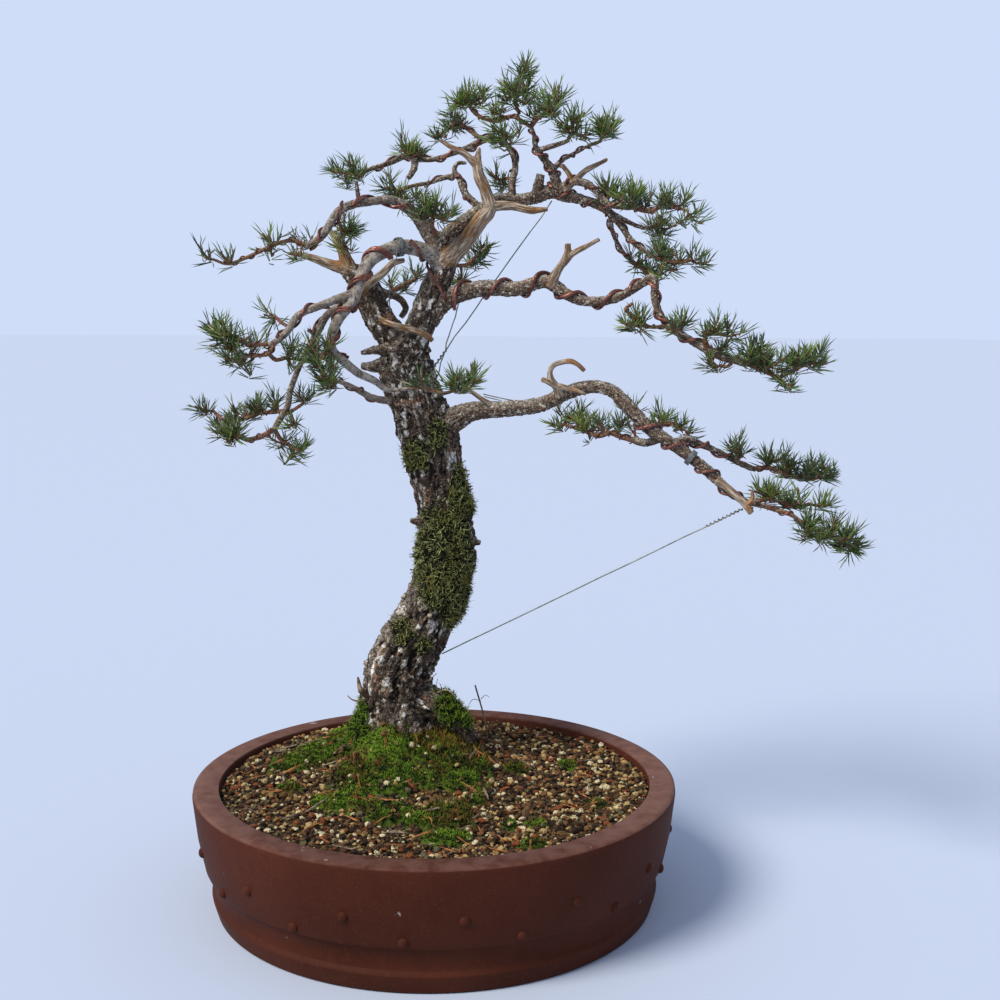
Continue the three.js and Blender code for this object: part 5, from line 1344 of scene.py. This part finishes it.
# Clumps of moss on the soil: [x, y, half width, half depth, height, freshness]
mossClumps = [
    [-51, 16, 24, 26, 12, 1.3], [14, 18, 38, 32, 5.5, 0.4], [-16, 34, 34, 30, 5, 0.36],
    [10, 62, 30, 32, 5, 0.5], [-112, 48, 42, 42, 4.5, 0.62], [-94, 94, 26, 40, 5, 0.8],
    [-77, -25, 19, 26, 5, 0.36], [-45, -20, 22, 18, 4, 0.6], [-34, -50, 14, 12, 3, 0.45],
    [11, -24, 33, 20, 3.5, 0.55], [-83, -70, 27, 18, 4, 0.85], [-39, -94, 19, 20, 5.5, 0.25],
    [-12, -104, 17, 18, 4.5, 0.6], [14, -104, 22, 28, 6.5, 0.4], [16, -150, 21, 14, 4, 0.9],
    [81, 24, 13, 12, 2.5, 0.35], [94, -112, 9, 9, 2.5, 0.75], [90, -160, 10, 8, 2.5, 0.75],
    [130, 48, 11, 13, 2.2, 0.45], [71, -115, 8, 9, 2.5, 0.3], [-137, -31, 12, 12, 3, 0.6],
    [38, -62, 11, 10, 3, 0.25], [-62, 118, 46, 36, 5, 0.6], [-6, 110, 34, 30, 5, 0.5],
    [-60, -45, 14, 12, 3, 0.8], [150, -60, 10, 9, 2, 0.5], [-150, 20, 14, 10, 2.5, 0.5],
]
moss = {
    "reach": 190.0,
    "rings": 66,
    "sectors": 170,
    "sunk": 3.0,  # how far the carpet's bare parts lie under the soil
    "strewn": 44000,  # places drawn for leaves, before those off the moss fall away
    "leaves": {"count": 24000, "length": [1.8, 4.2], "width": [0.5, 0.95], "lean": 0.5, "curl": 0.2},
    "stalks": {"count": 900, "length": [6, 11], "width": [0.22, 0.34], "lean": 0.22, "curl": 0.3},
    "strands": {"count": 9000, "length": [3.5, 8], "width": [0.36, 0.66], "lean": 1.1, "curl": 0.75},
    "stalky": [0.34, 0.42],  # freshness of the clumps that bear stalks
    "seed": 19,
}


def flatSpots(x, y):
    return np.column_stack([x, y, np.zeros(len(x))]) * mm


# Cover from 0 to 1, height over the soil and freshness at places on the soil
def mossAt(x, y):
    spots = flatSpots(x, y)
    ragged = 0.5 * cloud(spots, 14, 4.0, 2) + 0.5 * cloud(spots, 4.5, 9.0, 2) - 0.06
    cover, height, fresh = np.zeros(len(x)), np.zeros(len(x)), np.full(len(x), 0.5)
    nearest = np.full(len(x), 9.0)
    for cx, cy, width, depth, rises, freshness in mossClumps:
        away = np.hypot((x - cx) / width, (y - cy) / depth) + ragged
        cover = np.maximum(cover, 1 - rise(away, 0.75, 1.05))
        height = np.maximum(height, rises * np.sqrt(np.clip(1 - away * away, 0, 1)))
        fresh = np.where(away < nearest, freshness, fresh)
        nearest = np.minimum(nearest, away)
    return cover, height, fresh


def mossHeightAt(x, y):
    cover, height, fresh = mossAt(x, y)
    lumps = 0.85 + 0.9 * np.abs(cloud(flatSpots(x, y), 8, 7.0, 2))
    return soilHeight(x, y) - moss["sunk"] + (moss["sunk"] + 1.2) * cover + height * lumps, cover, fresh


def carpetTop(x, y, share):
    return mossHeightAt(x, y)[0]


def carpetBase(x, y, share):
    return soilHeight(x, y) - moss["sunk"] - 2.0


def scatterSoil():
    reach = ground["grainReach"] * np.sqrt(groundDraw.random(ground["grains"]))
    turn = groundDraw.uniform(0, 2 * np.pi, ground["grains"])
    x, y = reach * np.cos(turn), reach * np.sin(turn)
    cover = mossAt(x, y)[0]
    kept = (cover < 0.5) | (groundDraw.random(len(x)) < ground["grainsOnMoss"])
    x, y, cover = x[kept], y[kept], cover[kept]
    least, more = ground["grainSize"]
    sizes = least + more * groundDraw.random(len(x)) ** 1.8
    heights = soilHeight(x, y) + sizes * groundDraw.uniform(-0.5, 0.8, len(x))
    heights = np.where(cover < 0.5, heights, mossHeightAt(x, y)[0] + 0.6)
    return np.column_stack([x, y, heights]), sizes


def makeGritPaint():
    paint, tree, shader = paintOf("gritStone", 0.9)
    place = objectPlace(tree)
    stops = [(0.0, (34, 25, 17)), (0.18, (72, 49, 30)), (0.36, (108, 78, 46)), (0.54, (146, 114, 66)),
             (0.63, (126, 66, 34)), (0.73, (180, 154, 102)), (0.86, (214, 200, 158)), (0.95, (92, 88, 62))]
    tones = rampOf(tree, readNote(tree, "tone"), stops, "CONSTANT")
    feed(tree, shader["Base Color"], patchColour(tree, place, tones, [[(70, 50, 34), 700.0, 0.58, 0.1]]))
    bumpInto(tree, shader, skinHeight(tree, place, 900.0, 2600.0), 0.0006)
    return paint


def makeBedPaint():
    paint, tree, shader = paintOf("darkSoil", 0.95)
    bits = addNode(tree, "ShaderNodeGroup", {"node_tree": flakeCells}, Place=objectPlace(tree), Size=380.0)
    tone, crack = bits.outputs
    stops = [(0.0, (30, 22, 15)), (0.4, (64, 45, 28)), (0.75, (100, 76, 46)), (0.95, (138, 116, 78))]
    # The gaps between the soil bits are painted shade, near black (14, 10, 7)
    feed(tree, shader["Base Color"], blendColours(tree, crack, rampOf(tree, tone, stops), (14, 10, 7)))
    bumpInto(tree, shader, work(tree, "SUBTRACT", 1.0, crack), 0.002)
    return paint


finishPiece(soilBed, makeBedPaint(), ["soil"])
grainSpots, grainSizes = scatterSoil()
grains = rockyGrains("soil_grains", grainSpots, grainSizes, groundDraw.random(len(grainSpots)))
finishPiece(grains, makeGritPaint(), ["soil"], smooth=False)
stage("soil")


# Moss on the soil and on the trunk

mossDraw = np.random.default_rng(moss["seed"])
mossCarpet = cushion("moss_carpet", moss["reach"], moss["rings"], moss["sectors"], carpetTop, carpetBase)


# Places strewn over a piece, thicker where its weights are higher
def scatterOn(piece, count, weights):
    spots = cornersOf(piece)
    directions = normalsOf(piece)
    chosen = mossDraw.choice(len(spots), count, p=weights / weights.sum())
    jitter = mossDraw.normal(0, 0.0005, (count, 3))
    return spots[chosen] + jitter, directions[chosen]


def makeMossPaint(name, deep, fresh, dry, low=None):
    paint, tree, shader = paintOf(name, 0.95)
    place = objectPlace(tree)
    if low:
        height = addNode(tree, "ShaderNodeSeparateXYZ", Vector=place).outputs[2]
        fresh = blendColours(tree, between(tree, height, 0.23, 0.19), fresh, low)
    colour = blendColours(tree, readNote(tree, "tone"), deep, fresh)
    colour = patchColour(tree, place, colour, [[dry, 38.0, 0.58, 0.08]])
    foot = between(tree, readNote(tree, "along"), 1.0, 0.0)
    feed(tree, shader["Base Color"], blendColours(tree, foot, colour, deep, "MULTIPLY"))
    return paint


def leanWays(directions, spread):
    return unitRows(directions + mossDraw.normal(0, spread, directions.shape) + np.array([0, 0, 0.25]))


# Places strewn over clumps of moss, with ways to grow and freshness
def strewOn(clumps, count):
    areas = np.array([clump[2] * clump[3] for clump in clumps])
    chosen = np.array(clumps)[mossDraw.choice(len(clumps), count, p=areas / areas.sum())]
    reach, turn = 1.1 * np.sqrt(mossDraw.random(count)), mossDraw.uniform(0, 2 * np.pi, count)
    x = chosen[:, 0] + chosen[:, 2] * reach * np.cos(turn)
    y = chosen[:, 1] + chosen[:, 3] * reach * np.sin(turn)
    heights, cover, fresh = mossHeightAt(x, y)
    ways = np.column_stack([0.5 * reach * np.cos(turn), 0.5 * reach * np.sin(turn), np.ones(count)])
    kept = (cover > 0.35) & (np.hypot(x, y) < moss["reach"])
    return np.column_stack([x, y, heights])[kept] * mm, ways[kept], fresh[kept]


def growSpikes(name, roots, ways, plan, tones, middle=(0.55, 0.75)):
    count = len(roots)
    bends = mossDraw.normal(0, plan["curl"], (count, 3))
    lengths = mossDraw.uniform(*plan["length"], count) * mm
    widths = mossDraw.uniform(*plan["width"], count) * mm
    return spikes(name, roots, ways, lengths, widths, bends, tones, middle)


mossPaint = makeMossPaint("mossGreen", (20, 30, 8), (148, 188, 48), (104, 88, 34))
carpetSpots = cornersOf(mossCarpet)
carpetFresh = mossAt(carpetSpots[:, 0] / mm, carpetSpots[:, 1] / mm)[2]
note(mossCarpet, "tone", np.clip(0.1 + 0.35 * carpetFresh + 0.25 * cloud(carpetSpots, 9, 5.0, 3), 0, 1))
note(mossCarpet, "along", np.full(len(carpetSpots), 0.5))
finishPiece(mossCarpet, mossPaint, ["moss_cushion"])

plan = moss["leaves"]
roots, ways, fresh = [values[:plan["count"]] for values in strewOn(mossClumps, moss["strewn"])]
tones = 0.72 * fresh + 0.8 * cloud(roots, 9, 5.0, 3) + mossDraw.normal(0, 0.2, len(roots))
leaves = growSpikes("moss_leaves", roots, leanWays(ways, plan["lean"]), plan, np.clip(tones, 0, 1), None)
finishPiece(leaves, mossPaint, ["moss_cushion"], smooth=False)

plan = moss["stalks"]
least, most = moss["stalky"]
roots, ways, fresh = strewOn([clump for clump in mossClumps if least < clump[5] < most], plan["count"])
ways = leanWays(ways, plan["lean"])
stalks = growSpikes("moss_stalks", roots, ways, plan, mossDraw.random(len(roots)))
finishPiece(stalks, makeMossPaint("mossStalks", (96, 62, 24), (176, 140, 62), (150, 116, 50)),
            smooth=False)

plan = moss["strands"]
trunkBark = bpy.data.objects["trunk_bark"]
trunkMoss = np.empty(len(trunkBark.data.vertices), dtype=np.float32)
trunkBark.data.attributes["moss"].data.foreach_get("value", trunkMoss)
roots, directions = scatterOn(trunkBark, plan["count"], trunkMoss + 1e-6)
bright = mossDraw.random(len(roots)) < 0.3
tones = 0.12 + 0.75 * bright + 0.4 * cloud(roots, 6, 8.0, 3) + mossDraw.normal(0, 0.12, len(roots))
tones = np.clip(np.clip(tones, 0, 1) + 0.25 * rise(-roots[:, 2], -0.215, -0.185), 0, 1)
strands = growSpikes("trunk_moss", roots, leanWays(directions, plan["lean"]), plan, tones)
barkMoss = makeMossPaint("trunkMoss", (24, 27, 10), (206, 210, 130), (150, 146, 76), (136, 172, 52))
finishPiece(strands, barkMoss, smooth=False)
stage("moss")


# Dry needles, twigs and stems on the soil and at the foot of the trunk
litter = {
    "dryNeedles": {"count": 90, "reach": 195, "length": [14, 22], "radius": 0.5, "openings": [-0.09, 0.09]},
    "bits": {"count": 34, "reach": 190, "length": [9, 30], "radius": [0.6, 1.3]},
    "seed": 23,
    "stems": {
        "dry_stem": [[50, 105, 111, 1.0], [46, 105, 140, 0.9], [36, 105, 177, 0.9]],
        "dry_stem_left": [[42, 105, 160, 0.4], [34, 101, 163, 0.35], [29, 99, 157, 0.2]],
        "dry_stem_right": [[42, 105, 162, 0.4], [47, 103, 167, 0.3], [51, 102, 165, 0.2]],
        "foot_twig": [[-12, 44, 197, 0.5], [-8, 40, 200, 0.5], [-1, 38, 207, 0.4]],
        "foot_stalk": [[-3, 42, 184, 0.45], [-2, 40, 192, 0.4], [0, 40, 201, 0.35]],
        "foot_curl": [[0, 44, 186, 0.7], [5, 42, 189, 0.8], [11, 40, 189, 0.7], [18, 38, 182, 0.5]],
        "foot_left": [[-72, 44, 178, 0.9], [-80, 40, 178, 0.9], [-85, 39, 180, 0.8], [-89, 38, 184, 0.5]],
        "foot_flake": [[-70, 44, 181, 3.0], [-76, 42, 188, 3.2], [-79, 41, 202, 1.1]],
        "long_twig": [[-168, 78, 115, 0.8], [-140, 96, 117, 1.0], [-112, 108, 121, 1.0]],
        "pale_twig": [[-158, 10, 115, 0.9], [-132, 24, 119, 0.9], [-112, 46, 126, 0.8]],
    },
}


def lyingBar(x, y, turn, length, radius, lift):
    shares = np.linspace(-0.5, 0.5, 5)
    bow = litterDraw.normal(0, 0.12) * length
    xs = x + shares * length * math.cos(turn) - bow * (0.25 - shares ** 2) * math.sin(turn)
    ys = y + shares * length * math.sin(turn) + bow * (0.25 - shares ** 2) * math.cos(turn)
    cover = mossAt(xs, ys)[0]
    zs = np.where(cover < 0.5, soilHeight(xs, ys) + 2.0, mossHeightAt(xs, ys)[0] + 1.5) + lift
    zs = np.maximum(zs, np.linspace(zs[0], zs[-1], 5)) + litterDraw.uniform(0, 1.5) * (0.5 + shares)
    return np.column_stack([xs, ys, zs]) * mm, np.array([0.6, 1, 1, 0.9, 0.4]) * radius * mm


# A place on the soil and a turn, by chance
def strewnPlace(farthest):
    reach = farthest * math.sqrt(litterDraw.random())
    place, turn = litterDraw.uniform(0, 2 * math.pi, 2)
    return reach * math.cos(place), reach * math.sin(place), turn


def makeLitterPaint(name, dark, pale):
    return patchPaint(name, 0.85, dark, [[pale, 90.0, 0.5, 0.15], [dark, 600.0, 0.6, 0.06]],
                      [700.0, 2200.0, 0.0006])


litterDraw = np.random.default_rng(litter["seed"])
dryNeedles, bits = [], []
plan = litter["dryNeedles"]
for number in range(plan["count"]):
    x, y, turn = strewnPlace(plan["reach"])
    for opening in plan["openings"]:
        length = litterDraw.uniform(*plan["length"])
        dryNeedles.append(lyingBar(x, y, turn + opening, length, plan["radius"], 1.0))
plan = litter["bits"]
for number in range(plan["count"]):
    x, y, turn = strewnPlace(plan["reach"])
    radius = litterDraw.uniform(*plan["radius"])
    bits.append(lyingBar(x, y, turn, litterDraw.uniform(*plan["length"]), radius, 0.6))
for route in litter["stems"].values():
    stem = smoothRoute(route, 2.5)
    bits.append((stem["centres"], stem["radii"]))
rustPaint = makeLitterPaint("rustNeedles", (112, 58, 32), (176, 122, 70))
dryPaint = makeLitterPaint("dryTwigs", (72, 52, 40), (166, 148, 122))
finishPiece(roundBars("dry_needles", dryNeedles, roundness=0), rustPaint, smooth=50)
finishPiece(roundBars("dry_twigs", bits, roundness=1), dryPaint, smooth=50)
stage("litter")


# Studio

studio = {
    "cameraPlace": [0.059, -1.261, 0.549],
    "lens": 48.6,
    "pitch": 7.42,
    "roll": 0.28,
    "yaw": -0.08,
    "floorRadius": 60.0,
    "floorColour": [190, 200, 218],
    "sky": [208, 221, 248],
    "skyStrength": 0.68,  # as light; the sky is seen at full strength
    "sunStrength": 3.3,
    "sunFrom": [-1.0, -0.75, 1.25],
    "sunSpread": 24.0,
    "sunColour": [1.0, 0.95, 0.87],
}

tidySelection()
bpy.ops.mesh.primitive_circle_add(vertices=96, radius=studio["floorRadius"], fill_type="NGON")
floor = settle(bpy.context.object)
floor.name = "floor"
floorPaint, _, floorShader = paintOf("paleFloor", 0.9)
floorShader["Base Color"].default_value = shade(*studio["floorColour"])
floor.data.materials.append(floorPaint)

world = bpy.data.worlds.new("studioSky")
bpy.context.scene.world = world
world.use_nodes = True
skyTree = world.node_tree
skyShader = skyTree.nodes["Background"]
skyShader.inputs[0].default_value = shade(*studio["sky"])
seen = addNode(skyTree, "ShaderNodeLightPath").outputs["Is Camera Ray"]
feed(skyTree, skyShader.inputs[1], work(skyTree, "MAXIMUM", seen, studio["skyStrength"]))

lamp = bpy.data.lights.new("key", "SUN")
lamp.energy = studio["sunStrength"]
lamp.angle = math.radians(studio["sunSpread"])
lamp.color = studio["sunColour"]
key = objectOf("key", lamp)
key.rotation_euler = Vector(studio["sunFrom"]).to_track_quat("Z", "Y").to_euler()
bpy.context.scene.view_settings.view_transform = "Standard"

lens = bpy.data.cameras.new("photo_camera")
lens.lens = studio["lens"]
lens.sensor_width = 36
camera = objectOf("photo_camera", lens)
camera.location = studio["cameraPlace"]
camera.rotation_euler = (math.radians(90 - studio["pitch"]), 0, math.radians(studio["yaw"]))
camera.rotation_euler.rotate_axis("Z", math.radians(studio["roll"]))
bpy.context.scene.camera = camera
